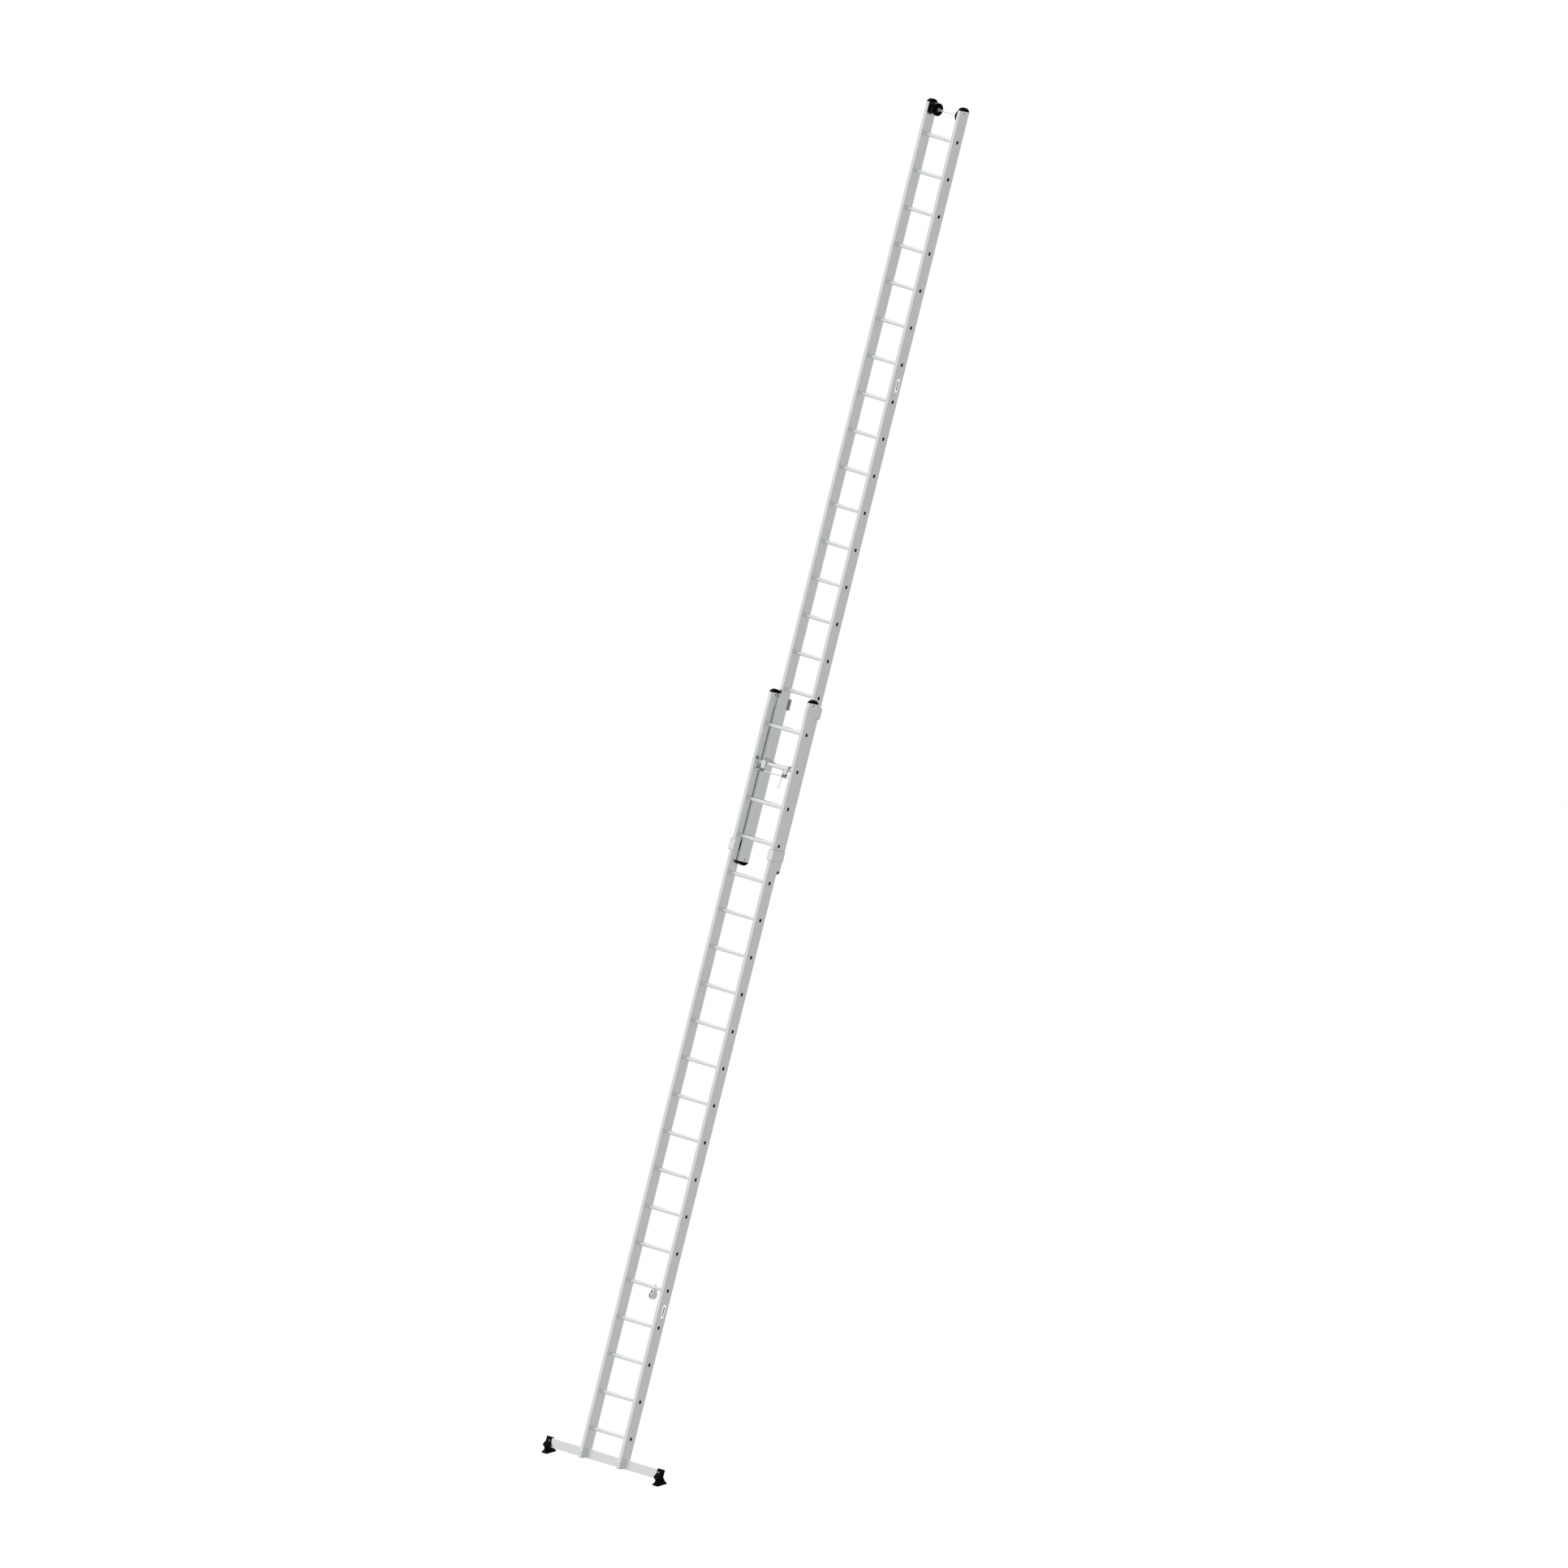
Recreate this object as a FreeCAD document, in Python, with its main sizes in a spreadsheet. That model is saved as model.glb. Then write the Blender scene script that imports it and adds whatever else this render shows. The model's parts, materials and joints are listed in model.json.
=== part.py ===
"""Two-section rope-operated extension ladder in aluminium, fully extended and leaning as it is used.

Each ladder section is modelled in its own ladder frame: x across the ladder to the climber's right,
y through its depth, away from the climber and 0 on its front face, and z up along the stiles, 0 at
its first rung. The section is then leaned over and set down. The part's origin is on the floor,
midway between the two soles.
"""

import FreeCAD, Part
import math
import operator
import os
import Sketcher
from FreeCAD import Placement, Rotation, Vector

DRIVING_SIZES = {
    "lean_angle": 70,
    "rung_pitch": 280,
    "rung_count": 20,
    "overlap_rungs": 4,
    "rung_clearance": 8,
    "stile_width": 28,
    "stile_depth": 97,
    "stile_wall": 2,
    "stile_corner": 2.5,
    "lower_stile_pitch": 395,
    "section_side_gap": 7,
    "lower_head": 236,
    "upper_tail": 185,
    "upper_head": 235,
    "rung_height": 28,
    "rung_depth": 24,
    "rung_corner": 7,
    "rung_wall": 1.6,
    "plug_depth": 12,
    "plug_proud": 0.3,
    "fit_gap": 0.1,
    "slide_gap": 0.7,
    "cap_height": 28,
    "cap_overhang": 1,
    "cap_insert": 22,
    "cap_round": 2.5,
    "pip_diameter": 8,
    "pip_drop": 17.5,
    "pip_proud": 0.4,
    "bar_length": 1184,
    "bar_height": 70,
    "bar_depth": 20,
    "bar_wall": 2,
    "bar_corner": 3,
    "bar_drop": 189,
    "bar_front": 43.5,
    "bar_behind_sole": 5,
    "bar_rise": 76.7,
    "leg_below_bar": 2,
    "leg_plug_length": 15,
    "leg_plug_proud": 3,
    "bolt_diameter": 10,
    "bolt_head_diameter": 19,
    "bolt_head_height": 6,
    "nut_height": 8,
    "shoe_width": 53,
    "shoe_outer": 600,
    "shoe_wall": 2.5,
    "shoe_top_wall": 7,
    "shoe_nose_reach": 38,
    "shoe_nose_height": 62,
    "shoe_neck_reach": 20,
    "shoe_neck_height": 37,
    "shoe_heel_reach": 33,
    "shoe_heel_height": 24,
    "sole_length": 104,
    "sole_width": 51,
    "sole_height": 9,
    "shoe_foot_height": 22.5,
    "shoe_heel_rise": 23.3333,
    "shoe_rivet_diameter": 9,
    "shoe_rivet_place": 565.6,
    "shoe_rivet_drop": 175,
    "guide_height": 80,
    "guide_thickness": 3,
    "top_guide_rise": 130,
    "top_guide_plate": 3.5,
    "top_guide_rear": 15,
    "top_guide_lip": 48,
    "bottom_guide_drop": 113,
    "bottom_guide_front": 8.8,
    "bottom_guide_outer": 13.5,
    "bottom_guide_inner_lip": 4.5,
    "bottom_guide_rear": 23,
    "glide_proud": 2.5,
    "rivet_diameter": 5,
    "rivet_head_diameter": 10,
    "rivet_head_height": 1.8,
    "rivet_pitch": 40,
    "label_length": 100,
    "label_width": 26,
    "label_thickness": 0.2,
    "label_rise": 124,
    "label_behind": 6,
    "lower_label_rung": 3,
    "upper_label_rung": 12,
    "wheel_diameter": 96,
    "wheel_width": 20,
    "wheel_round": 5,
    "wheel_dish": 3,
    "spacer_length": 24.15,
    "wheel_behind": 26,
    "wheel_rise": 192,
    "axle_diameter": 9,
    "running_gap": 0.05,
    "hub_length": 32,
    "hub_diameter": 30,
    "hub_nose_diameter": 15,
    "spacer_diameter": 16,
    "latch_rung": 2,
    "latch_side_gap": 11.15,
    "hook_width": 36,
    "hook_gap": 0.6,
    "hook_lip": 13,
    "hook_arm": 9,
    "hook_drop": 40,
    "hook_boss_diameter": 22,
    "pivot_diameter": 10,
    "pivot_behind": 23.5,
    "pivot_rise": 27,
    "bracket_plate": 4,
    "bracket_reach": 21,
    "hook_bevel": 8,
    "latch_block_height": 25,
    "latch_block_front": 6,
    "latch_rod_diameter": 9,
    "latch_rod_drop": 57,
    "latch_rod_end_gap": 5.5,
    "wire_diameter": 5,
    "wire_bend": 7.5,
    "wire_reach": 10,
    "wire_rise": 4.6667,
    "wire_drop": 148,
    "wire_foot": 25,
    "pulley_rung": 4,
    "pulley_place": 77,
    "pulley_frame_width": 28,
    "pulley_cheek": 4,
    "pulley_drop": 44,
    "pulley_cheek_radius": 32,
    "pulley_neck": 20,
    "pulley_bridge": 12,
    "sheave_diameter": 50,
    "sheave_width": 16,
    "groove_radius": 6,
    "sheave_axle_diameter": 10,
    "pulley_bolt_diameter": 8,
    "pulley_bolt_head": 14,
    "pulley_head_height": 4.9,
    "bolt_thread_proud": 2,
    "pulley_thread_proud": 2.3333,
    "pulley_nut_height": 7,
}

SHEET = "Sizes"
WORK = {"+": operator.add, "-": operator.sub, "*": operator.mul, "/": operator.truediv}
X_AXIS, Y_AXIS, Z_AXIS = Vector(1, 0, 0), Vector(0, 1, 0), Vector(0, 0, 1)

doc = FreeCAD.newDocument("ExtensionLadder")
pieces = []


# ---- sizes -------------------------------------------------------------------------------------

class Size:
    """A number worked out from the sheet, with the formula that binds a property to it."""

    def __init__(self, value, formula):
        self.value = value
        self.formula = formula

    def __float__(self):
        return float(self.value)

    def __add__(self, other):
        return worked_out(self, "+", other)

    def __radd__(self, other):
        return worked_out(other, "+", self)

    def __sub__(self, other):
        return worked_out(self, "-", other)

    def __rsub__(self, other):
        return worked_out(other, "-", self)

    def __mul__(self, other):
        return worked_out(self, "*", other)

    def __rmul__(self, other):
        return worked_out(other, "*", self)

    def __truediv__(self, other):
        return worked_out(self, "/", other)

    def __neg__(self):
        return worked_out(0, "-", self)


def as_size(number):
    if isinstance(number, Size):
        return number
    return Size(number, f"({number})")


def worked_out(left, sign, right):
    left, right = as_size(left), as_size(right)
    value = WORK[sign](left.value, right.value)
    return Size(value, f"({left.formula} {sign} {right.formula})")


class SizeSheet:
    """The document's spreadsheet, whose aliased cells read as attributes."""

    def __init__(self, sizes):
        self.sheet = doc.addObject("Spreadsheet::Sheet", SHEET)
        for row, (alias, number) in enumerate(sizes.items(), start=1):
            self.sheet.set(f"A{row}", alias)
            self.sheet.set(f"B{row}", str(number))
            self.sheet.setAlias(f"B{row}", alias)
        doc.recompute()

    def __getattr__(self, alias):
        return Size(float(self.sheet.get(alias)), f"{SHEET}.{alias}")


size = SizeSheet(DRIVING_SIZES)
lean_sine = Size(math.sin(math.radians(float(size.lean_angle))), f"sin({SHEET}.lean_angle)")
lean_cosine = Size(math.cos(math.radians(float(size.lean_angle))), f"cos({SHEET}.lean_angle)")


def bind(thing, **numbers):
    """Bind each property to its formula. A double underscore in a name stands for a full stop."""
    for name, number in numbers.items():
        thing.setExpression(name.replace("__", "."), as_size(number).formula)


def bind_base(thing, x, y, z):
    bind(thing, Placement__Base__x=x, Placement__Base__y=y, Placement__Base__z=z)


# ---- sketches and features -----------------------------------------------------------------------

def origin_feature(body, role):
    return next(feature for feature in body.Origin.OriginFeatures if feature.Role == role)


def new_body(name):
    return doc.addObject("PartDesign::Body", name)


def new_sketch(body, plane, offset=0):
    """A sketch on one of the body's own planes, moved along that plane's normal."""
    sketch = body.newObject("Sketcher::SketchObject", f"{body.Name}_{plane}_sketch")
    sketch.AttachmentSupport = (origin_feature(body, plane), "")
    sketch.MapMode = "FlatFace"
    bind(sketch, AttachmentOffset__Base__z=offset)
    return sketch


def hold(sketch, kind, *where_and_size):
    """Add one constraint whose last argument is a size, bound to the sheet."""
    *where, number = where_and_size
    index = sketch.addConstraint(Sketcher.Constraint(kind, *where, float(number)))
    sketch.setExpression(f"Constraints[{index}]", as_size(number).formula)


def hold_point(sketch, geometry, point, x, y):
    hold(sketch, "DistanceX", -1, 1, geometry, point, x)
    hold(sketch, "DistanceY", -1, 1, geometry, point, y)


def sketch_circle(sketch, x, y, diameter):
    centre = Vector(float(x), float(y), 0)
    circle = sketch.addGeometry(Part.Circle(centre, Z_AXIS, float(diameter) / 2), False)
    hold_point(sketch, circle, 3, x, y)
    hold(sketch, "Diameter", circle, diameter)


def sketch_outline(sketch, points):
    """A closed outline of straight lines, with every corner held by its two places."""
    corners = [Vector(float(x), float(y), 0) for x, y in points]
    lines = [
        sketch.addGeometry(Part.LineSegment(start, end), False)
        for start, end in zip(corners, corners[1:] + corners[:1])
    ]
    for line, following in zip(lines, lines[1:] + lines[:1]):
        sketch.addConstraint(Sketcher.Constraint("Coincident", line, 2, following, 1))
    for line, (x, y) in zip(lines, points):
        hold_point(sketch, line, 1, x, y)


def sketch_rectangle(sketch, left, right, bottom, top, corner):
    """Four sides and four equal corner arcs, tangent to each other."""
    x_low, x_high, y_low, y_high, radius = (float(n) for n in (left, right, bottom, top, corner))
    ends = [
        ((x_low + radius, y_low), (x_high - radius, y_low)),
        ((x_high, y_low + radius), (x_high, y_high - radius)),
        ((x_high - radius, y_high), (x_low + radius, y_high)),
        ((x_low, y_high - radius), (x_low, y_low + radius)),
    ]
    centres = [
        (x_high - radius, y_low + radius),
        (x_high - radius, y_high - radius),
        (x_low + radius, y_high - radius),
        (x_low + radius, y_low + radius),
    ]
    sides = [
        sketch.addGeometry(Part.LineSegment(Vector(*start), Vector(*end)), False)
        for start, end in ends
    ]
    arcs = []
    for quarter, centre in enumerate(centres):
        circle = Part.Circle(Vector(*centre), Z_AXIS, radius)
        start = math.radians(90 * (quarter - 1))
        arc = Part.ArcOfCircle(circle, start, start + math.radians(90))
        arcs.append(sketch.addGeometry(arc, False))
    for side, arc, following in zip(sides, arcs, sides[1:] + sides[:1]):
        sketch.addConstraint(Sketcher.Constraint("Tangent", side, 2, arc, 1))
        sketch.addConstraint(Sketcher.Constraint("Tangent", arc, 2, following, 1))
    for side, direction in zip(sides, ("Horizontal", "Vertical", "Horizontal", "Vertical")):
        sketch.addConstraint(Sketcher.Constraint(direction, side))
    for arc in arcs[1:]:
        sketch.addConstraint(Sketcher.Constraint("Equal", arcs[0], arc))
    hold(sketch, "Radius", arcs[0], corner)
    hold(sketch, "DistanceY", -1, 1, sides[0], 1, bottom)
    hold(sketch, "DistanceX", -1, 1, sides[1], 1, right)
    hold(sketch, "DistanceY", -1, 1, sides[2], 1, top)
    hold(sketch, "DistanceX", -1, 1, sides[3], 1, left)


def pad(body, sketch, length, symmetric=False):
    feature = body.newObject("PartDesign::Pad", f"{sketch.Name}_pad")
    feature.Profile = sketch
    feature.SideType = "Symmetric" if symmetric else "One side"
    bind(feature, Length=length)
    return feature


def pocket(body, sketch, length, symmetric=True):
    """Cut the sketch out of the body, to both sides of it or against its plane's normal."""
    feature = body.newObject("PartDesign::Pocket", f"{sketch.Name}_pocket")
    feature.Profile = sketch
    feature.SideType = "Symmetric" if symmetric else "One side"
    bind(feature, Length=length)
    return feature


def repeat_up(body, feature, count, pitch):
    """Repeat a feature along the body's z axis, count times."""
    pattern = body.newObject("PartDesign::LinearPattern", f"{feature.Name}_pattern")
    pattern.Originals = [feature]
    pattern.Direction = (origin_feature(body, "Z_Axis"), [""])
    pattern.Mode = "Extent"
    bind(pattern, Length=(count - 1) * pitch, Occurrences=count)
    body.Tip = pattern
    return pattern


def block(name, x, y, z):
    """A box between the two places given along each axis."""
    box = doc.addObject("Part::Box", name)
    bind(box, Length=x[1] - x[0], Width=y[1] - y[0], Height=z[1] - z[0])
    bind_base(box, x[0], y[0], z[0])
    return box


TURN_TO = {"x": Rotation(Y_AXIS, 90), "y": Rotation(X_AXIS, -90), "z": Rotation()}


def cylinder(name, axis, start, length, diameter):
    """A cylinder from its starting point along +x, +y or +z."""
    thing = doc.addObject("Part::Cylinder", name)
    thing.Placement = Placement(Vector(), TURN_TO[axis])
    bind(thing, Radius=diameter / 2, Height=length)
    bind_base(thing, *start)
    return thing


def cone(name, start, length, first_diameter, last_diameter):
    """A cone along +x."""
    thing = doc.addObject("Part::Cone", name)
    thing.Placement = Placement(Vector(), TURN_TO["x"])
    bind(thing, Radius1=first_diameter / 2, Radius2=last_diameter / 2, Height=length)
    bind_base(thing, *start)
    return thing


def hexagon(name, axis, start, length, across_corners):
    thing = doc.addObject("Part::Prism", name)
    thing.Polygon = 6
    thing.Placement = Placement(Vector(), TURN_TO[axis])
    bind(thing, Circumradius=across_corners / 2, Height=length)
    bind_base(thing, *start)
    return thing


def cut(name, base, tool):
    result = doc.addObject("Part::Cut", name)
    result.Base, result.Tool = base, tool
    return result


def fuse(name, *shapes):
    result = doc.addObject("Part::MultiFuse", name)
    result.Shapes = list(shapes)
    result.Refine = True
    return result


def group(name, *shapes):
    result = doc.addObject("Part::Compound", name)
    result.Links = list(shapes)
    return result


# ---- frames and finished pieces --------------------------------------------------------------------

def ladder_point(y, z):
    """The floor frame's (y, z) of a place in the lower section's ladder frame."""
    return (
        floor_shift_y + y * lean_sine + z * lean_cosine,
        floor_shift_z - y * lean_cosine + z * lean_sine,
    )


FLOOR = Placement()


def set_frames():
    """The lower section stands on its soles; the upper section lies behind its top rungs."""
    lean = Rotation(X_AXIS, float(size.lean_angle) - 90)
    lower = Placement(Vector(0, float(floor_shift_y), float(floor_shift_z)), lean)
    first_rung = float(size.rung_pitch * first_upper_rung)
    upper = lower * Placement(Vector(0, float(section_offset), first_rung), Rotation())
    return lower, upper


def finish(thing, label, frame):
    """Name a finished sub-part, lay it in its frame and keep it for the checks and the files."""
    thing.Label = label
    thing.Placement = frame
    pieces.append(thing)
    return thing


def mirror(source, label):
    """The same piece on the ladder's other side."""
    thing = doc.addObject("Part::Mirroring", label)
    thing.Source = source
    thing.Normal = X_AXIS
    thing.Label = label
    pieces.append(thing)
    return thing


def finish_pair(thing, name, frame):
    """The piece on the climber's right, and its mirror image on the left."""
    mirror(finish(thing, f"{name}_right", frame), f"{name}_left")


def finish_together(thing, label, frame):
    """Small pieces of both sides in one sub-part, each a solid of its own."""
    other_side = doc.addObject("Part::Mirroring", f"{label}_other_side")
    other_side.Source = thing
    other_side.Normal = X_AXIS
    finish(group(f"{label}_both_sides", thing, other_side), label, frame)


# ---- places shared by several pieces ---------------------------------------------------------------

first_upper_rung = size.rung_count - size.overlap_rungs
last_rung = (size.rung_count - 1) * size.rung_pitch
rung_axis = size.stile_depth / 2
section_offset = rung_axis + size.rung_depth / 2 + size.rung_clearance
lower_centre = size.lower_stile_pitch / 2
upper_centre = lower_centre - size.stile_width - size.section_side_gap
lower_outer, upper_outer = lower_centre + size.stile_width / 2, upper_centre + size.stile_width / 2
lower_inner, upper_inner = lower_centre - size.stile_width / 2, upper_centre - size.stile_width / 2
bar_middle = size.bar_front + size.bar_depth / 2
bar_rear = size.bar_front + size.bar_depth
bar_top, bar_bottom = size.bar_height / 2 - size.bar_drop, -size.bar_height / 2 - size.bar_drop
lower_tail = size.leg_below_bar - bar_bottom
floor_shift_y = size.bar_behind_sole - bar_middle * lean_sine + size.bar_drop * lean_cosine
floor_shift_z = size.bar_rise + bar_middle * lean_cosine + size.bar_drop * lean_sine
LOWER, UPPER = set_frames()


# ---- the two sections -------------------------------------------------------------------------------

def cross_hole(body, centre, y, z, diameter, length):
    """A round hole across the ladder, centred at x = centre."""
    sketch = new_sketch(body, "YZ_Plane", offset=centre)
    sketch_circle(sketch, y, z, diameter)
    return pocket(body, sketch, length)


def stile_body(name, centre, tail, head):
    """A closed box extrusion with a hole for each rung and for the pips of its top cap."""
    body = new_body(name)
    half, wall, depth = size.stile_width / 2, size.stile_wall, size.stile_depth
    section = new_sketch(body, "XY_Plane", offset=-tail)
    sketch_rectangle(section, centre - half, centre + half, 0, depth, size.stile_corner)
    inner_corner = size.stile_corner / 2
    sketch_rectangle(section, centre - half + wall, centre + half - wall, wall, depth - wall, inner_corner)
    pad(body, section, tail + last_rung + head)
    rung_hole = new_sketch(body, "YZ_Plane", offset=centre)
    rung_outline(rung_hole, -size.fit_gap)
    first_hole = pocket(body, rung_hole, 2 * size.stile_width)
    repeat_up(body, first_hole, size.rung_count, size.rung_pitch)
    pip_hole(body, centre, last_rung + head - size.pip_drop)
    return body


def pip_hole(body, centre, z):
    cross_hole(body, centre, rung_axis, z, size.pip_diameter + 2 * size.fit_gap, 2 * size.stile_width)


def rung_outline(sketch, inset):
    """A rung's rounded section, made smaller all round by the inset."""
    half_depth, half_height = size.rung_depth / 2 - inset, size.rung_height / 2 - inset
    sketch_rectangle(
        sketch,
        rung_axis - half_depth, rung_axis + half_depth,
        -half_height, half_height,
        size.rung_corner - inset,
    )


def lower_stile(side, label):
    """The base section's stile, whose foot is notched to a front leg that the base bar bolts to."""
    centre = side * lower_centre
    body = stile_body(label, centre, lower_tail, size.lower_head)
    notch = new_sketch(body, "YZ_Plane", offset=centre)
    beyond = size.stile_wall
    notch_front, notch_rear = size.bar_front - size.fit_gap, size.stile_depth + beyond
    notch_low, notch_top = -lower_tail - beyond, bar_top + size.fit_gap
    sketch_outline(
        notch,
        [(notch_front, notch_low), (notch_rear, notch_low), (notch_rear, notch_top), (notch_front, notch_top)],
    )
    pocket(body, notch, 2 * size.stile_width)
    bolt_hole(body, [centre], size.stile_depth)
    finish(body, label, LOWER)


def upper_stile(side, label):
    """The fly section's stile, with a cap at each end and a blind hole for the roller axle."""
    centre = side * upper_centre
    body = stile_body(label, centre, size.upper_tail, size.upper_head)
    pip_hole(body, centre, size.pip_drop - size.upper_tail)
    axle_hole = size.axle_diameter + 2 * size.fit_gap
    cross_hole(body, side * upper_inner, wheel_y, wheel_z, axle_hole, 3 * size.stile_wall)
    finish(body, label, UPPER)


def bolt_hole(body, centres, reach):
    """Holes through the depth of the ladder, at the height of the base bar's middle."""
    sketch = new_sketch(body, "XZ_Plane")
    for centre in centres:
        sketch_circle(sketch, centre, -size.bar_drop, size.bolt_diameter + 2 * size.fit_gap)
    pocket(body, sketch, 2 * reach)


def rungs(label, outer, frame):
    """Twenty rounded tubes that end flush with the stiles' outer faces."""
    body = new_body(label)
    section = new_sketch(body, "YZ_Plane")
    rung_outline(section, 0)
    rung_outline(section, size.rung_wall)
    first = pad(body, section, 2 * outer, symmetric=True)
    repeat_up(body, first, size.rung_count, size.rung_pitch)
    if label == "lower_rungs":
        bolt = new_sketch(body, "XY_Plane", offset=size.pulley_rung * size.rung_pitch)
        sketch_circle(bolt, size.pulley_place, rung_axis, size.pulley_bolt_diameter + 2 * size.fit_gap)
        pocket(body, bolt, 2 * size.rung_height)
    finish(body, label, frame)


def rung_plugs(name, outer, frame):
    """A plastic plug in each rung's open end."""
    body = new_body(name)
    section = new_sketch(body, "YZ_Plane", offset=outer - size.plug_depth)
    rung_outline(section, size.rung_wall + size.fit_gap)
    first = pad(body, section, size.plug_depth + size.plug_proud)
    repeat_up(body, first, size.rung_count, size.rung_pitch)
    finish_pair(body, name, frame)


def end_cap(name, centre, end, upside_down, frame):
    """A half-moon cap: a dome over the stile's end, an insert inside it and a snap pip through it."""
    body = new_body(name)
    half_chord = size.stile_depth / 2 + size.cap_overhang
    radius = (half_chord * half_chord / size.cap_height + size.cap_height) / 2
    dome = new_sketch(body, "YZ_Plane")
    chord = dome.addGeometry(
        Part.LineSegment(Vector(-float(half_chord), 0, 0), Vector(float(half_chord), 0, 0)), False
    )
    centre_height = float(size.cap_height - radius)
    start = math.atan2(-centre_height, float(half_chord))
    circle = Part.Circle(Vector(0, centre_height, 0), Z_AXIS, float(radius))
    arc = dome.addGeometry(Part.ArcOfCircle(circle, start, math.pi - start), False)
    dome.addConstraint(Sketcher.Constraint("Coincident", chord, 2, arc, 1))
    dome.addConstraint(Sketcher.Constraint("Coincident", chord, 1, arc, 2))
    hold_point(dome, chord, 1, -half_chord, 0)
    hold_point(dome, chord, 2, half_chord, 0)
    hold(dome, "Radius", arc, radius)
    dome_pad = pad(body, dome, size.stile_width + 2 * size.cap_overhang, symmetric=True)
    round_arcs(body, dome_pad, size.cap_round)
    insert_x = size.stile_width / 2 - size.stile_wall - size.fit_gap
    insert_y = size.stile_depth / 2 - size.stile_wall - size.fit_gap
    insert = new_sketch(body, "XY_Plane", offset=-size.cap_insert)
    sketch_rectangle(insert, -insert_x, insert_x, -insert_y, insert_y, size.stile_corner / 2)
    pad(body, insert, size.cap_insert)
    pip = new_sketch(body, "YZ_Plane")
    sketch_circle(pip, 0, -size.pip_drop, size.pip_diameter)
    pad(body, pip, size.stile_width + 2 * size.pip_proud, symmetric=True)
    turn = Rotation(X_AXIS, 180 if upside_down else 0)
    seat = Placement(Vector(float(centre), float(rung_axis), float(end)), turn)
    finish_pair(body, name, frame * seat)


def round_arcs(body, feature, radius):
    """Round the curved edges of a feature."""
    doc.recompute()
    arcs = [
        f"Edge{number}"
        for number, edge in enumerate(feature.Shape.Edges, start=1)
        if isinstance(edge.Curve, Part.Circle)
    ]
    fillet = body.newObject("PartDesign::Fillet", f"{feature.Name}_round")
    fillet.Base = (feature, arcs)
    bind(fillet, Radius=radius)


def label_plate(label, outer, rung, frame):
    """A thin blank plate with rounded corners on the right stile's outer face."""
    body = new_body(label)
    sketch = new_sketch(body, "YZ_Plane", offset=outer)
    middle_y, middle_z = rung_axis + size.label_behind, rung * size.rung_pitch + size.label_rise
    half_width, half_length = size.label_width / 2, size.label_length / 2
    sketch_rectangle(
        sketch,
        middle_y - half_width, middle_y + half_width,
        middle_z - half_length, middle_z + half_length,
        half_width / 2,
    )
    pad(body, sketch, size.label_thickness)
    finish(body, label, frame)


# ---- base bar and shoes ------------------------------------------------------------------------------

def base_bar():
    """The wide bar across the foot of the ladder, bolted to both front legs."""
    body = new_body("base_bar")
    section = new_sketch(body, "YZ_Plane")
    wall = size.bar_wall
    sketch_rectangle(section, size.bar_front, bar_rear, bar_bottom, bar_top, size.bar_corner)
    sketch_rectangle(
        section,
        size.bar_front + wall, bar_rear - wall, bar_bottom + wall, bar_top - wall,
        size.bar_corner / 2,
    )
    pad(body, section, size.bar_length, symmetric=True)
    bolt_hole(body, [-lower_centre, lower_centre], 2 * bar_rear)
    finish(body, "base_bar", LOWER)


def base_bar_bolts():
    """Each bolt's domed head bears on the leg, and its nut on the back of the bar."""
    for side, name in ((1, "right"), (-1, "left")):
        centre = side * lower_centre
        head = cylinder(
            f"bolt_head_{name}", "y",
            (centre, -size.bolt_head_height, -size.bar_drop), size.bolt_head_height, size.bolt_head_diameter,
        )
        shank = cylinder(
            f"bolt_shank_{name}", "y",
            (centre, 0, -size.bar_drop), bar_rear + size.nut_height + size.bolt_thread_proud,
            size.bolt_diameter,
        )
        fuse(f"bolt_{name}", head, shank)
        nut = hexagon(
            f"nut_body_{name}", "y", (centre, bar_rear, -size.bar_drop), size.nut_height,
            size.bolt_head_diameter,
        )
        bore = cylinder(
            f"nut_bore_{name}", "y",
            (centre, bar_rear, -size.bar_drop), size.nut_height, size.bolt_diameter + 2 * size.fit_gap,
        )
        cut(f"nut_{name}", nut, bore)
    bolts = group("bolts", doc.getObject("bolt_right"), doc.getObject("bolt_left"))
    finish(bolts, "base_bar_bolts", LOWER)
    nuts = group("nuts", doc.getObject("nut_right"), doc.getObject("nut_left"))
    finish(nuts, "base_bar_nuts", LOWER)


def leg_plug():
    """The plastic plug in the open foot of the stile's front leg."""
    gap = size.stile_wall + size.fit_gap
    body = new_body("leg_plug")
    sketch = new_sketch(body, "XY_Plane", offset=-lower_tail - size.leg_plug_proud)
    sketch_rectangle(
        sketch, lower_inner + gap, lower_outer - gap, gap, size.bar_front - gap, size.stile_corner / 2
    )
    pad(body, sketch, size.leg_plug_proud + size.leg_plug_length)
    finish_pair(body, "leg_plug", LOWER)


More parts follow.
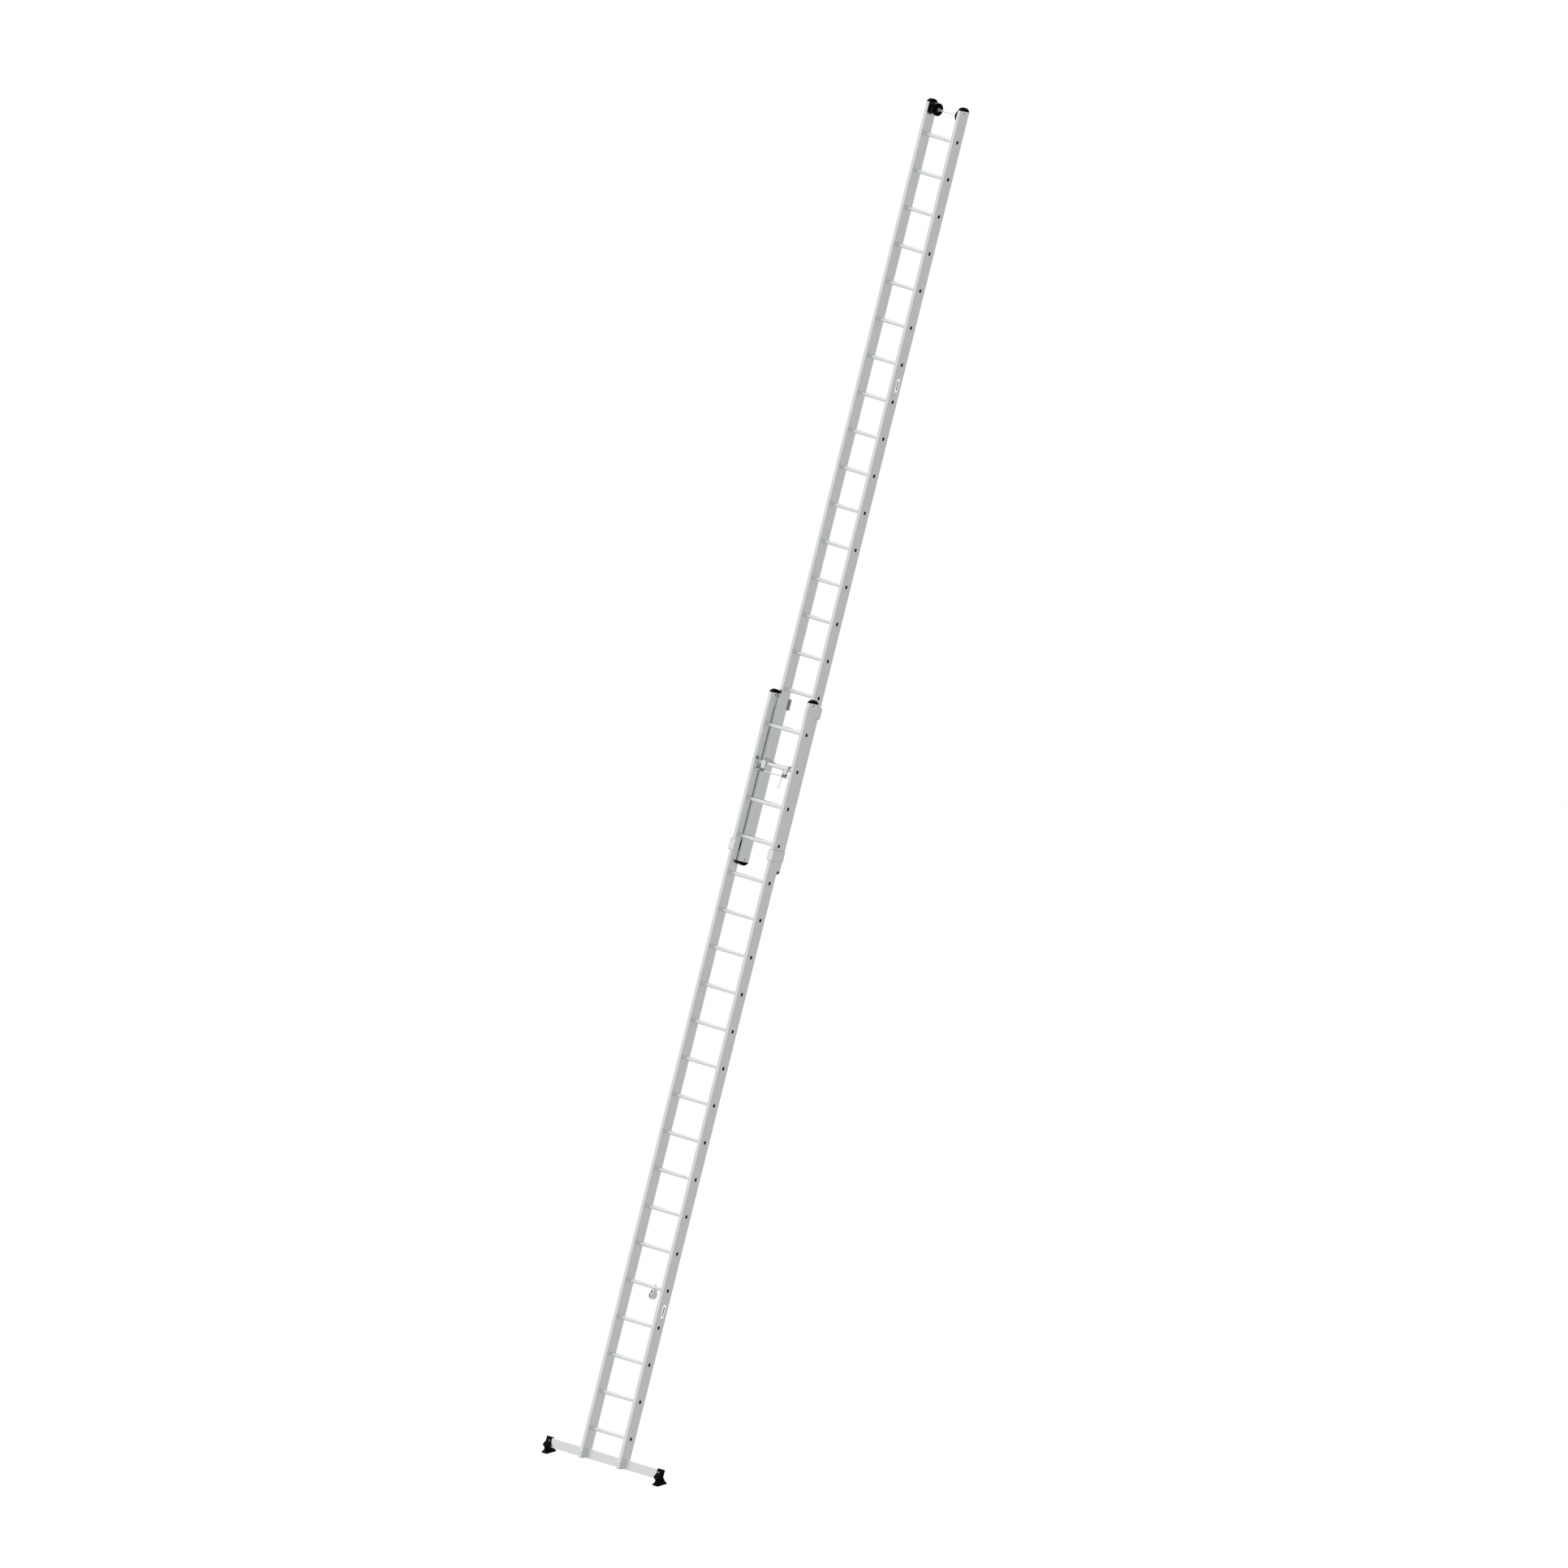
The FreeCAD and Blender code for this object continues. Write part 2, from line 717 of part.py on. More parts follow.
def shoe():
    """A moulded shoe over the bar's end. Its foot stands level while the bar leans."""
    front, rear = size.bar_front - size.shoe_wall, bar_rear + size.shoe_wall
    half_sole = size.sole_length / 2
    nose_half = size.shoe_wall * 2
    outline = [
        ladder_point(front, bar_top + size.shoe_top_wall),
        ladder_point(front, size.shoe_top_wall - size.bar_drop),
        (-size.shoe_nose_reach + size.shoe_wall, size.shoe_nose_height + nose_half),
        (-size.shoe_nose_reach, size.shoe_nose_height),
        (-size.shoe_nose_reach + size.shoe_wall, size.shoe_nose_height - nose_half),
        (-size.shoe_neck_reach, size.shoe_neck_height),
        (-size.shoe_neck_reach - size.shoe_wall, size.shoe_foot_height),
        (-half_sole, size.sole_height),
        (half_sole, size.sole_height),
        (size.shoe_heel_reach, size.shoe_heel_height),
        ladder_point(rear, bar_bottom + size.shoe_heel_rise),
        ladder_point(rear, bar_top + size.shoe_top_wall),
    ]
    body = new_body("shoe_body")
    sketch = new_sketch(body, "YZ_Plane", offset=size.shoe_outer - size.shoe_width)
    sketch_outline(sketch, outline)
    pad(body, sketch, size.shoe_width)
    gap = size.fit_gap
    bar_room = block(
        "bar_room",
        (size.shoe_outer - size.shoe_width - gap, size.bar_length / 2 + gap),
        (size.bar_front - gap, bar_rear + gap),
        (bar_bottom - gap, bar_top + gap),
    )
    rivet_place = (size.shoe_rivet_place, front - size.rivet_head_height, -size.shoe_rivet_drop)
    rivet_length = size.rivet_head_height + size.shoe_wall
    rivet_room = cylinder("rivet_room", "y", rivet_place, rivet_length, size.rivet_diameter + 2 * gap)
    rooms = group("shoe_rooms", bar_room, rivet_room)
    rooms.Placement = LOWER
    finish_pair(cut("shoe", body, rooms), "shoe", FLOOR)
    shank = cylinder("shoe_rivet_shank", "y", rivet_place, rivet_length, size.rivet_diameter)
    head = cylinder(
        "shoe_rivet_head", "y", rivet_place, size.rivet_head_height, size.shoe_rivet_diameter
    )
    finish_together(fuse("shoe_rivet", head, shank), "shoe_rivets", LOWER)


def sole():
    """The rubber pad under the shoe, with a rounded lip all round."""
    body = new_body("sole")
    middle_x = size.shoe_outer - size.shoe_width / 2
    sketch = new_sketch(body, "XY_Plane")
    half_width, half_length = size.sole_width / 2, size.sole_length / 2
    sketch_rectangle(
        sketch, middle_x - half_width, middle_x + half_width, -half_length, half_length, size.sole_height
    )
    pad(body, sketch, size.sole_height)
    finish_pair(body, "sole", FLOOR)


# ---- guides ------------------------------------------------------------------------------------------

def plate_profile(name, outline, low, height):
    """A bracket cut from one bent section, given as its outline in x and y."""
    body = new_body(name)
    sketch = new_sketch(body, "XY_Plane", offset=low)
    sketch_outline(sketch, outline)
    pad(body, sketch, height)
    return body


def rivet_holes(body, x, y, heights, length):
    for z in heights:
        cross_hole(body, x, y, z, size.rivet_diameter + 2 * size.fit_gap, length)


def rivets(name, face, head_side, y, heights, plate, frame):
    """Rivets through a plate whose free face is at x = face. Their heads lie on its head_side."""
    made = []
    for number, z in enumerate(heights):
        head_start = face if head_side > 0 else face - size.rivet_head_height
        shank_start = face - plate if head_side > 0 else face
        head = cylinder(
            f"{name}_head_{number}", "x", (head_start, y, z), size.rivet_head_height, size.rivet_head_diameter
        )
        shank = cylinder(f"{name}_shank_{number}", "x", (shank_start, y, z), plate, size.rivet_diameter)
        made.append(fuse(f"{name}_{number}", head, shank))
    finish_together(group(f"{name}_one_side", *made), name, frame)


def top_guide():
    """On the base section: it wraps the stile's front and reaches back behind the fly's stile."""
    low = last_rung + size.top_guide_rise
    plate, thick = size.top_guide_plate, size.guide_thickness
    inner = lower_inner - plate
    rear = section_offset + size.stile_depth + size.top_guide_rear
    lip = lower_inner - size.top_guide_lip
    profile = [
        (inner, -thick), (lower_outer - thick, -thick), (lower_outer - thick, 0), (lower_inner, 0),
        (lower_inner, rear), (lip, rear), (lip, rear - thick), (inner, rear - thick),
    ]
    body = plate_profile("top_guide", profile, low, size.guide_height)
    rivet_y = section_offset / 2
    middle = low + size.guide_height / 2
    heights = [middle - size.rivet_pitch / 2, middle + size.rivet_pitch / 2]
    rivet_holes(body, lower_inner - plate / 2, rivet_y, heights, 2 * plate)
    finish_pair(body, "top_guide", LOWER)
    rivets("top_guide_rivets", inner, -1, rivet_y, heights, plate, LOWER)
    fly_rear = section_offset + size.stile_depth + size.slide_gap
    fly_outer = upper_outer + size.slide_gap
    gap = size.fit_gap
    glide = [
        (inner - gap, section_offset), (inner - gap, rear - thick - gap),
        (lip + thick, rear - thick - gap), (lip + thick, fly_rear),
        (fly_outer, fly_rear), (fly_outer, section_offset),
    ]
    glide_low = low - size.glide_proud
    glide_height = size.guide_height + 2 * size.glide_proud
    finish_pair(plate_profile("top_glide", glide, glide_low, glide_height), "top_glide", LOWER)


def bottom_guide():
    """On the fly section: a strap behind, beside and in front of the base section's stile, which
    leaves the inner side free for the base section's rungs, with plastic glides inside."""
    low = -size.bottom_guide_drop
    thick, offset = size.guide_thickness, section_offset
    front = -size.bottom_guide_front - offset
    rear = size.stile_depth + size.bottom_guide_rear - offset
    outer = lower_outer + size.bottom_guide_outer
    plate_end = size.stile_depth - thick
    lip = upper_outer - size.bottom_guide_inner_lip
    strap = [
        (lip, front), (outer, front), (outer, rear), (upper_outer + thick, rear),
        (upper_outer + thick, plate_end), (upper_outer, plate_end), (upper_outer, rear - thick),
        (outer - thick, rear - thick), (outer - thick, front + thick), (lip, front + thick),
    ]
    body = plate_profile("bottom_guide", strap, low, size.guide_height)
    rivet_y = (rear + plate_end) / 2
    middle = low + size.guide_height / 2
    heights = [middle - size.rivet_pitch / 2, middle + size.rivet_pitch / 2]
    rivet_holes(body, upper_outer + thick / 2, rivet_y, heights, 2 * thick)
    finish_pair(body, "bottom_guide", UPPER)
    rivets("bottom_guide_rivets", upper_outer + thick, 1, rivet_y, heights, thick, UPPER)
    gap, slide = size.fit_gap, size.slide_gap
    glide = [
        (lower_inner, front + thick + gap), (outer - thick - gap, front + thick + gap),
        (outer - thick - gap, size.stile_depth - offset), (lower_outer + slide, size.stile_depth - offset),
        (lower_outer + slide, -slide - offset), (lower_inner, -slide - offset),
    ]
    glide_low = low - size.glide_proud
    glide_height = size.guide_height + 2 * size.glide_proud
    finish_pair(plate_profile("bottom_glide", glide, glide_low, glide_height), "bottom_glide", UPPER)


# ---- wall rollers --------------------------------------------------------------------------------------

wheel_y = rung_axis + size.wheel_behind
wheel_z = last_rung + size.wheel_rise
wheel_place = upper_inner - size.spacer_length - size.slide_gap / 2 - size.wheel_width / 2


def turned(name, outline):
    """A piece turned about the x axis, from its outline in x and radius."""
    body = new_body(name)
    sketch = new_sketch(body, "XY_Plane")
    sketch_outline(sketch, outline)
    turning = body.newObject("PartDesign::Revolution", f"{name}_turning")
    turning.Profile = sketch
    turning.ReferenceAxis = (origin_feature(body, "X_Axis"), [""])
    turning.Angle = 360
    return body


def tube(name, start, length, outer_diameter, inner_diameter):
    outside = cylinder(f"{name}_outside", "x", start, length, outer_diameter)
    inside = cylinder(f"{name}_inside", "x", start, length, inner_diameter)
    return cut(name, outside, inside)


def wall_rollers():
    """Two wheels on one axle between the fly's stiles, each with a hub cone, a spacer and a clip."""
    half, radius, bevel = size.wheel_width / 2, size.wheel_diameter / 2, size.wheel_round
    bore = size.axle_diameter / 2 + size.running_gap
    dish_low, dish_high, dish = size.hub_diameter / 2, radius - 2 * bevel, size.wheel_dish
    outline = [
        (-half, bore), (half, bore), (half, dish_low), (half - dish, dish_low + dish),
        (half - dish, dish_high - dish), (half, dish_high), (half, radius - bevel), (half - bevel, radius),
        (bevel - half, radius), (-half, radius - bevel), (-half, dish_high),
        (dish - half, dish_high - dish), (dish - half, dish_low + dish), (-half, dish_low),
    ]
    centre = Placement(Vector(float(wheel_place), float(wheel_y), float(wheel_z)), Rotation())
    finish_pair(turned("roller_wheel", outline), "roller_wheel", UPPER * centre)
    hub_start = (-half - size.hub_length, 0, 0)
    hub_cone = cone("hub_cone", hub_start, size.hub_length, size.hub_nose_diameter, size.hub_diameter)
    hub_bore = cylinder("hub_bore", "x", hub_start, size.hub_length, 2 * bore)
    finish_pair(cut("roller_hub", hub_cone, hub_bore), "roller_hub", UPPER * centre)
    half_axle = upper_inner + size.stile_wall
    axle = cylinder(
        "roller_axle_rod", "x", (-half_axle, wheel_y, wheel_z), 2 * half_axle, size.axle_diameter
    )
    finish(group("roller_axle_seat", axle), "roller_axle", UPPER)
    on_axle = size.axle_diameter + 2 * size.fit_gap
    spacer_start = wheel_place + half + size.slide_gap / 2
    spacer = tube(
        "roller_spacer", (spacer_start, wheel_y, wheel_z), upper_inner - spacer_start,
        size.spacer_diameter, on_axle,
    )
    finish_together(spacer, "roller_spacers", UPPER)
    clip_end = wheel_place - half - size.hub_length - size.slide_gap / 2
    clip_length = size.stile_wall
    clip = tube(
        "roller_clip", (clip_end - clip_length, wheel_y, wheel_z), clip_length,
        size.hub_nose_diameter, on_axle,
    )
    finish_together(clip, "roller_clips", UPPER)


# ---- rung latch ----------------------------------------------------------------------------------------

bracket_half_width = size.hook_width / 2 + size.slide_gap / 2 + size.bracket_plate
latch_place = upper_inner - size.latch_side_gap - bracket_half_width


def latch():
    """Two hooks on one tie rod, pivoted on the fly's rung and resting over the base section's rung."""
    frame = UPPER * Placement(Vector(0, 0, float(size.latch_rung * size.rung_pitch)), Rotation())
    base_rung_front = rung_axis - section_offset - size.rung_depth / 2
    lip = base_rung_front - size.hook_gap
    front = lip - size.hook_lip
    underside = size.rung_height / 2 + size.hook_gap
    arm_top = underside + size.hook_arm
    pivot_y, pivot_z = size.pivot_behind, size.pivot_rise
    boss = size.hook_boss_diameter
    latch_hooks(frame, lip, front, underside, arm_top, pivot_y, pivot_z, boss)
    latch_brackets(frame, pivot_y, pivot_z, boss)
    latch_rod(frame, lip, front)
    trip_wire(frame, front + size.latch_rod_diameter / 2 + size.wire_diameter / 2 + size.slide_gap)


def latch_hooks(frame, lip, front, underside, arm_top, pivot_y, pivot_z, boss):
    body = new_body("latch_hook")
    sketch = new_sketch(body, "YZ_Plane", offset=latch_place)
    sketch_outline(sketch, [
        (lip, -size.hook_drop), (lip, underside), (pivot_y, pivot_z - boss / 2),
        (pivot_y, pivot_z + boss / 2), (front + size.hook_bevel, arm_top),
        (front, arm_top - size.hook_bevel), (front, -size.hook_drop),
    ])
    pad(body, sketch, size.hook_width, symmetric=True)
    boss_sketch = new_sketch(body, "YZ_Plane", offset=latch_place)
    sketch_circle(boss_sketch, pivot_y, pivot_z, boss)
    pad(body, boss_sketch, size.hook_width, symmetric=True)
    bore = size.pivot_diameter + 2 * size.running_gap
    cross_hole(body, latch_place, pivot_y, pivot_z, bore, 2 * size.hook_width)
    finish_pair(body, "latch_hook", frame)


def latch_brackets(frame, pivot_y, pivot_z, boss):
    """A saddle on the fly's rung with a cheek each side of the hook, and the pivot pin."""
    plate = size.bracket_plate
    rung_front, rung_rear = rung_axis - size.rung_depth / 2, rung_axis + size.rung_depth / 2
    half_height = size.rung_height / 2
    low_x, high_x = latch_place - bracket_half_width, latch_place + bracket_half_width
    cheek_y, cheek_z = (pivot_y - boss / 2, rung_front), (-half_height, pivot_z + boss / 2)
    saddle = fuse(
        "latch_saddle",
        block("saddle_front", (low_x, high_x), (rung_front - plate, rung_front), (-half_height, half_height)),
        block("saddle_top", (low_x, high_x), (rung_front - plate, rung_rear), (half_height, half_height + plate)),
        block("cheek_inner", (low_x, low_x + plate), cheek_y, cheek_z),
        block("cheek_outer", (high_x - plate, high_x), cheek_y, cheek_z),
    )
    pin_start = (low_x - plate / 2, pivot_y, pivot_z)
    pin_length = high_x - low_x + plate
    pin_room = cylinder("pin_room", "x", pin_start, pin_length, size.pivot_diameter + 2 * size.fit_gap)
    finish_pair(cut("latch_bracket", saddle, pin_room), "latch_bracket", frame)
    pin = cylinder("pivot_pin", "x", pin_start, pin_length, size.pivot_diameter)
    finish_together(pin, "latch_pins", frame)


def latch_rod(frame, lip, front):
    """The tie rod, held in a plastic block under each hook."""
    low = -size.hook_drop - size.latch_block_height
    half_width = size.hook_width / 2
    solid_block = block(
        "latch_block_solid",
        (latch_place - half_width, latch_place + half_width),
        (front - size.latch_block_front, lip),
        (low, -size.hook_drop),
    )
    rod_room = cylinder(
        "rod_room", "x", (latch_place - half_width, front, -size.latch_rod_drop),
        size.hook_width, size.latch_rod_diameter + 2 * size.fit_gap,
    )
    finish_pair(cut("latch_block", solid_block, rod_room), "latch_block", frame)
    rod_end = lower_inner - size.latch_rod_end_gap
    rod = cylinder(
        "latch_rod_bar", "x", (-rod_end, front, -size.latch_rod_drop), 2 * rod_end, size.latch_rod_diameter
    )
    finish(group("latch_rod_seat", rod), "latch_rod", frame)


def trip_wire(frame, y):
    """The bent wire beside the right hook: out of its cheek, down, and in to a short foot."""
    hook_side = float(latch_place - size.hook_width / 2)
    place, top = hook_side - float(size.wire_reach), float(size.wire_rise)
    bottom, foot_end = -float(size.wire_drop), place - float(size.wire_foot)
    y = float(y)
    route = [
        Vector(hook_side, y, top), Vector(place, y, top), Vector(place, y, bottom), Vector(foot_end, y, bottom)
    ]
    spine = bent_route(route, float(size.wire_bend))
    start = Part.Wire(Part.makeCircle(float(size.wire_diameter) / 2, route[0], route[1] - route[0]))
    wire = doc.addObject("Part::Feature", "trip_wire")
    wire.Shape = spine.makePipeShell([start], True, False)
    finish(wire, "trip_wire", frame)


def bent_route(points, bend):
    """Straight runs joined by tangent arcs of one bend radius."""
    edges, reached = [], points[0]
    for before, corner, after in zip(points, points[1:], points[2:]):
        arrive, leave = (corner - before).normalize(), (after - corner).normalize()
        turn = arrive.getAngle(leave)
        back = bend * math.tan(turn / 2)
        first, last = corner - arrive * back, corner + leave * back
        inward = (leave - arrive).normalize()
        middle = corner + inward * (bend / math.cos(turn / 2) - bend)
        edges.append(Part.LineSegment(reached, first).toShape())
        edges.append(Part.Arc(first, middle, last).toShape())
        reached = last
    edges.append(Part.LineSegment(reached, points[-1]).toShape())
    return Part.Wire(edges)


# ---- rope pulley ----------------------------------------------------------------------------------------

def pulley():
    """The rope's bottom pulley, bolted up under one rung of the base section."""
    frame = LOWER * Placement(Vector(0, 0, float(size.pulley_rung * size.rung_pitch)), Rotation())
    rung_bottom = -size.rung_height / 2
    place, drop = size.pulley_place, rung_bottom - size.pulley_drop
    half, cheek = size.pulley_frame_width / 2, size.pulley_cheek
    neck_y = (rung_axis - size.pulley_neck, rung_axis + size.pulley_neck)
    cheeks = []
    for name, low in (("inner", place - half), ("outer", place + half - cheek)):
        cheeks.append(cylinder(
            f"pulley_round_{name}", "x", (low, rung_axis, drop), cheek, 2 * size.pulley_cheek_radius
        ))
        cheeks.append(block(f"pulley_neck_{name}", (low, low + cheek), neck_y, (drop, rung_bottom)))
    bridge_low = rung_bottom - size.pulley_bridge
    cheeks.append(block("pulley_bridge_block", (place - half, place + half), neck_y, (bridge_low, rung_bottom)))
    axle_proud = cheek / 2
    axle_start = (place - half - axle_proud, rung_axis, drop)
    axle_length = size.pulley_frame_width + 2 * axle_proud
    bolt_room = size.pulley_bolt_diameter + 2 * size.fit_gap
    rooms = group(
        "pulley_rooms",
        cylinder("axle_room", "x", axle_start, axle_length, size.sheave_axle_diameter + 2 * size.fit_gap),
        cylinder("bolt_room", "z", (place, rung_axis, bridge_low), size.pulley_bridge, bolt_room),
    )
    finish(cut("pulley_block", fuse("pulley_solid", *cheeks), rooms), "pulley_block", frame)
    axle = cylinder("pulley_axle_rod", "x", axle_start, axle_length, size.sheave_axle_diameter)
    finish(group("pulley_axle_seat", axle), "pulley_axle", frame)
    pulley_bolt(frame, bridge_low)
    half_sheave, radius = size.sheave_width / 2, size.sheave_diameter / 2
    bore, groove = size.sheave_axle_diameter / 2 + size.running_gap, size.groove_radius
    outline = [
        (-half_sheave, bore), (half_sheave, bore), (half_sheave, radius), (groove, radius),
        (groove / 2, radius - groove), (-groove / 2, radius - groove), (-groove, radius),
        (-half_sheave, radius),
    ]
    centre = Placement(Vector(float(place), float(rung_axis), float(drop)), Rotation())
    finish(turned("pulley_sheave_body", outline), "pulley_sheave", frame * centre)


def pulley_bolt(frame, bridge_low):
    """A hexagon bolt up through the bridge and the rung, with a nut on top of the rung."""
    place, nut, thread = size.pulley_place, size.pulley_nut_height, size.pulley_bolt_diameter
    rung_top = size.rung_height / 2
    head_height = size.pulley_head_height
    head = hexagon(
        "pulley_bolt_head_hex", "z", (place, rung_axis, bridge_low - head_height), head_height,
        size.pulley_bolt_head,
    )
    shank = cylinder(
        "pulley_bolt_shank", "z", (place, rung_axis, bridge_low), rung_top + nut + size.pulley_thread_proud - bridge_low,
        thread,
    )
    finish(fuse("pulley_bolt_solid", head, shank), "pulley_bolt", frame)
    nut_start = (place, rung_axis, rung_top)
    nut_body = hexagon("pulley_nut_hex", "z", nut_start, nut, size.pulley_bolt_head)
    nut_bore = cylinder("pulley_nut_bore", "z", nut_start, nut, thread + 2 * size.fit_gap)
    finish(cut("pulley_nut_solid", nut_body, nut_bore), "pulley_nut", frame)


# ---- the ladder --------------------------------------------------------------------------------------------

def make_ladder():
    for side, name in ((1, "right"), (-1, "left")):
        lower_stile(side, f"lower_stile_{name}")
        upper_stile(side, f"upper_stile_{name}")
    rungs("lower_rungs", lower_outer, LOWER)
    rungs("upper_rungs", upper_outer, UPPER)
    rung_plugs("lower_rung_plugs", lower_outer, LOWER)
    rung_plugs("upper_rung_plugs", upper_outer, UPPER)
    end_cap("lower_top_cap", lower_centre, last_rung + size.lower_head, False, LOWER)
    end_cap("upper_top_cap", upper_centre, last_rung + size.upper_head, False, UPPER)
    end_cap("upper_bottom_cap", upper_centre, -size.upper_tail, True, UPPER)
    label_plate("lower_label", lower_outer, size.lower_label_rung, LOWER)
    label_plate("upper_label", upper_outer, size.upper_label_rung, UPPER)
    base_bar()
    base_bar_bolts()
    leg_plug()
    shoe()
    sole()
    top_guide()
    bottom_guide()
    wall_rollers()
    latch()
    pulley()


def check():
    """Stop if any object failed or any sub-part's shape is missing or faulty."""
    doc.recompute()
    for thing in doc.Objects:
        if "Invalid" in thing.State or "Error" in thing.State:
            raise RuntimeError(f"{thing.Name} failed: {thing.State}")
    for thing in pieces:
        if thing.Shape.isNull() or not thing.Shape.isValid():
            raise RuntimeError(f"{thing.Label} has no valid shape")


def write():
    os.makedirs("parts", exist_ok=True)
    for thing in pieces:
        thing.Shape.exportStep(os.path.join("parts", f"{thing.Label}.step"))
        print(f"{thing.Label}: {len(thing.Shape.Solids)} solids, {thing.Shape.Volume / 1000:.1f} cm3")


make_ladder()
check()
write()
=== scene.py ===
"""The looks of the two-section extension ladder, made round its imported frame, in metres.

Shapes are made in ladder axes: x across the ladder, y through its depth and away from the climber,
z up along the stiles. add_piece() lays them back into the leaning row frame.
"""

import json
import math

import bmesh
import bpy
from mathutils import Matrix, Vector


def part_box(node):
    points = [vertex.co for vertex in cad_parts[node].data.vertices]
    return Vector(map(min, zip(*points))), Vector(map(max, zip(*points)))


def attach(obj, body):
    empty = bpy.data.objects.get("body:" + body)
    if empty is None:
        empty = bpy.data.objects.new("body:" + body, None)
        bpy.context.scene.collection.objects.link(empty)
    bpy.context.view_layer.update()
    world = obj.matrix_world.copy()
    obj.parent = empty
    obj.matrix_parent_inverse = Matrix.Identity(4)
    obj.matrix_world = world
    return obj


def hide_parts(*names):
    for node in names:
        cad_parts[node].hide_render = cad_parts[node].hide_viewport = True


MM = 0.001
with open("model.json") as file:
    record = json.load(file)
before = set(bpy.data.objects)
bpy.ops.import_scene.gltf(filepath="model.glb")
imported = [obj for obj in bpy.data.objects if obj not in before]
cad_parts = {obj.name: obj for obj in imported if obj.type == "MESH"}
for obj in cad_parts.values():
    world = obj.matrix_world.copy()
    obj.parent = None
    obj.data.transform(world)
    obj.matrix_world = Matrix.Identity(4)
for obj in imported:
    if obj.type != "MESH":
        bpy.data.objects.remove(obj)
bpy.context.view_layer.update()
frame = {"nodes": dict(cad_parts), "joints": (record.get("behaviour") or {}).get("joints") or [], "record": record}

RECORD = frame["record"]
BODY_OF = {node: body for body, nodes in RECORD["behaviour"]["bodies"].items() for node in nodes}
SLOT_OF = {part["node"]: part["material_slot"] for part in RECORD["subparts"]}
SLIDE = next(joint for joint in frame["joints"] if joint["name"] == "extension_slide")

ACROSS = Vector((1, 0, 0))
ALONG = Vector(SLIDE["axis"]).normalized()
THROUGH = ALONG.cross(ACROSS)
TO_ROW = Matrix((ACROSS, THROUGH, ALONG)).transposed()
TO_LADDER = TO_ROW.transposed()
LEAN = math.atan2(ALONG.z, ALONG.y)

MIRROR = Matrix.Diagonal((-1, 1, 1))
SMOOTH_ANGLE = math.radians(33)
SIDES = {"right": 1, "left": -1}


# ---- camera, light and floor ---------------------------------------------------------------------

AZIMUTH, ELEVATION = math.radians(45), math.radians(17.2)
VIEW_SIZE = 11.486
AIM_RIGHT, AIM_UP, DISTANCE = 1.3170, 5.0141, 40.0


def make_camera():
    """A parallel view from the front right, a little above level."""
    flat = math.cos(ELEVATION)
    back = Vector((math.sin(AZIMUTH) * flat, -math.cos(AZIMUTH) * flat, math.sin(ELEVATION)))
    right = Vector((math.cos(AZIMUTH), math.sin(AZIMUTH), 0))
    up = back.cross(right)
    data = bpy.data.cameras.new("camera")
    data.type = "ORTHO"
    data.ortho_scale = VIEW_SIZE
    data.clip_start, data.clip_end = 1, 500
    camera = bpy.data.objects.new("camera", data)
    camera.location = right * AIM_RIGHT + up * AIM_UP + back * DISTANCE
    camera.rotation_mode = "QUATERNION"
    camera.rotation_quaternion = (-back).to_track_quat("-Z", "Y")
    bpy.context.scene.collection.objects.link(camera)
    bpy.context.scene.camera = camera


# Each glow: where it is strongest, the cosines between which it grows, and its strength at them.
ALL_ROUND_GLOW = ((-0.62, -0.70, 0.35), (-1, 1), (0.62, 0.91))
OVERHEAD_GLOW = ((-0.60, 0.15, 0.79), (0.50, 0.95), (0.0, 0.95))


def make_world():
    """Soft light from all round, brighter from the front left and brightest overhead."""
    world = bpy.data.worlds.new("studio")
    bpy.context.scene.world = world
    world.use_nodes = True
    nodes, links = world.node_tree.nodes, world.node_tree.links
    background = nodes["Background"]
    background.inputs["Color"].default_value = (1, 1, 1, 1)
    place = nodes.new("ShaderNodeTexCoord")
    total = nodes.new("ShaderNodeMath")
    total.operation = "ADD"
    for index, (towards, cosines, strengths) in enumerate((ALL_ROUND_GLOW, OVERHEAD_GLOW)):
        facing = nodes.new("ShaderNodeVectorMath")
        facing.operation = "DOT_PRODUCT"
        facing.inputs[1].default_value = Vector(towards).normalized()
        spread = nodes.new("ShaderNodeMapRange")
        spread.interpolation_type = "SMOOTHSTEP"
        spread.inputs["From Min"].default_value, spread.inputs["From Max"].default_value = cosines
        spread.inputs["To Min"].default_value, spread.inputs["To Max"].default_value = strengths
        links.new(place.outputs["Generated"], facing.inputs[0])
        links.new(facing.outputs["Value"], spread.inputs["Value"])
        links.new(spread.outputs["Result"], total.inputs[index])
    links.new(total.outputs["Value"], background.inputs["Strength"])


LAMP_ANGLE = math.radians(25)


def make_lamp(name, energy, heading, seen_in_metal):
    """A broad distant light shining along heading."""
    data = bpy.data.lights.new(name, "SUN")
    data.energy = energy
    data.angle = LAMP_ANGLE
    lamp = bpy.data.objects.new(name, data)
    lamp.rotation_mode = "QUATERNION"
    lamp.rotation_quaternion = Vector(heading).to_track_quat("-Z", "Y")
    lamp.visible_glossy = seen_in_metal
    bpy.context.scene.collection.objects.link(lamp)


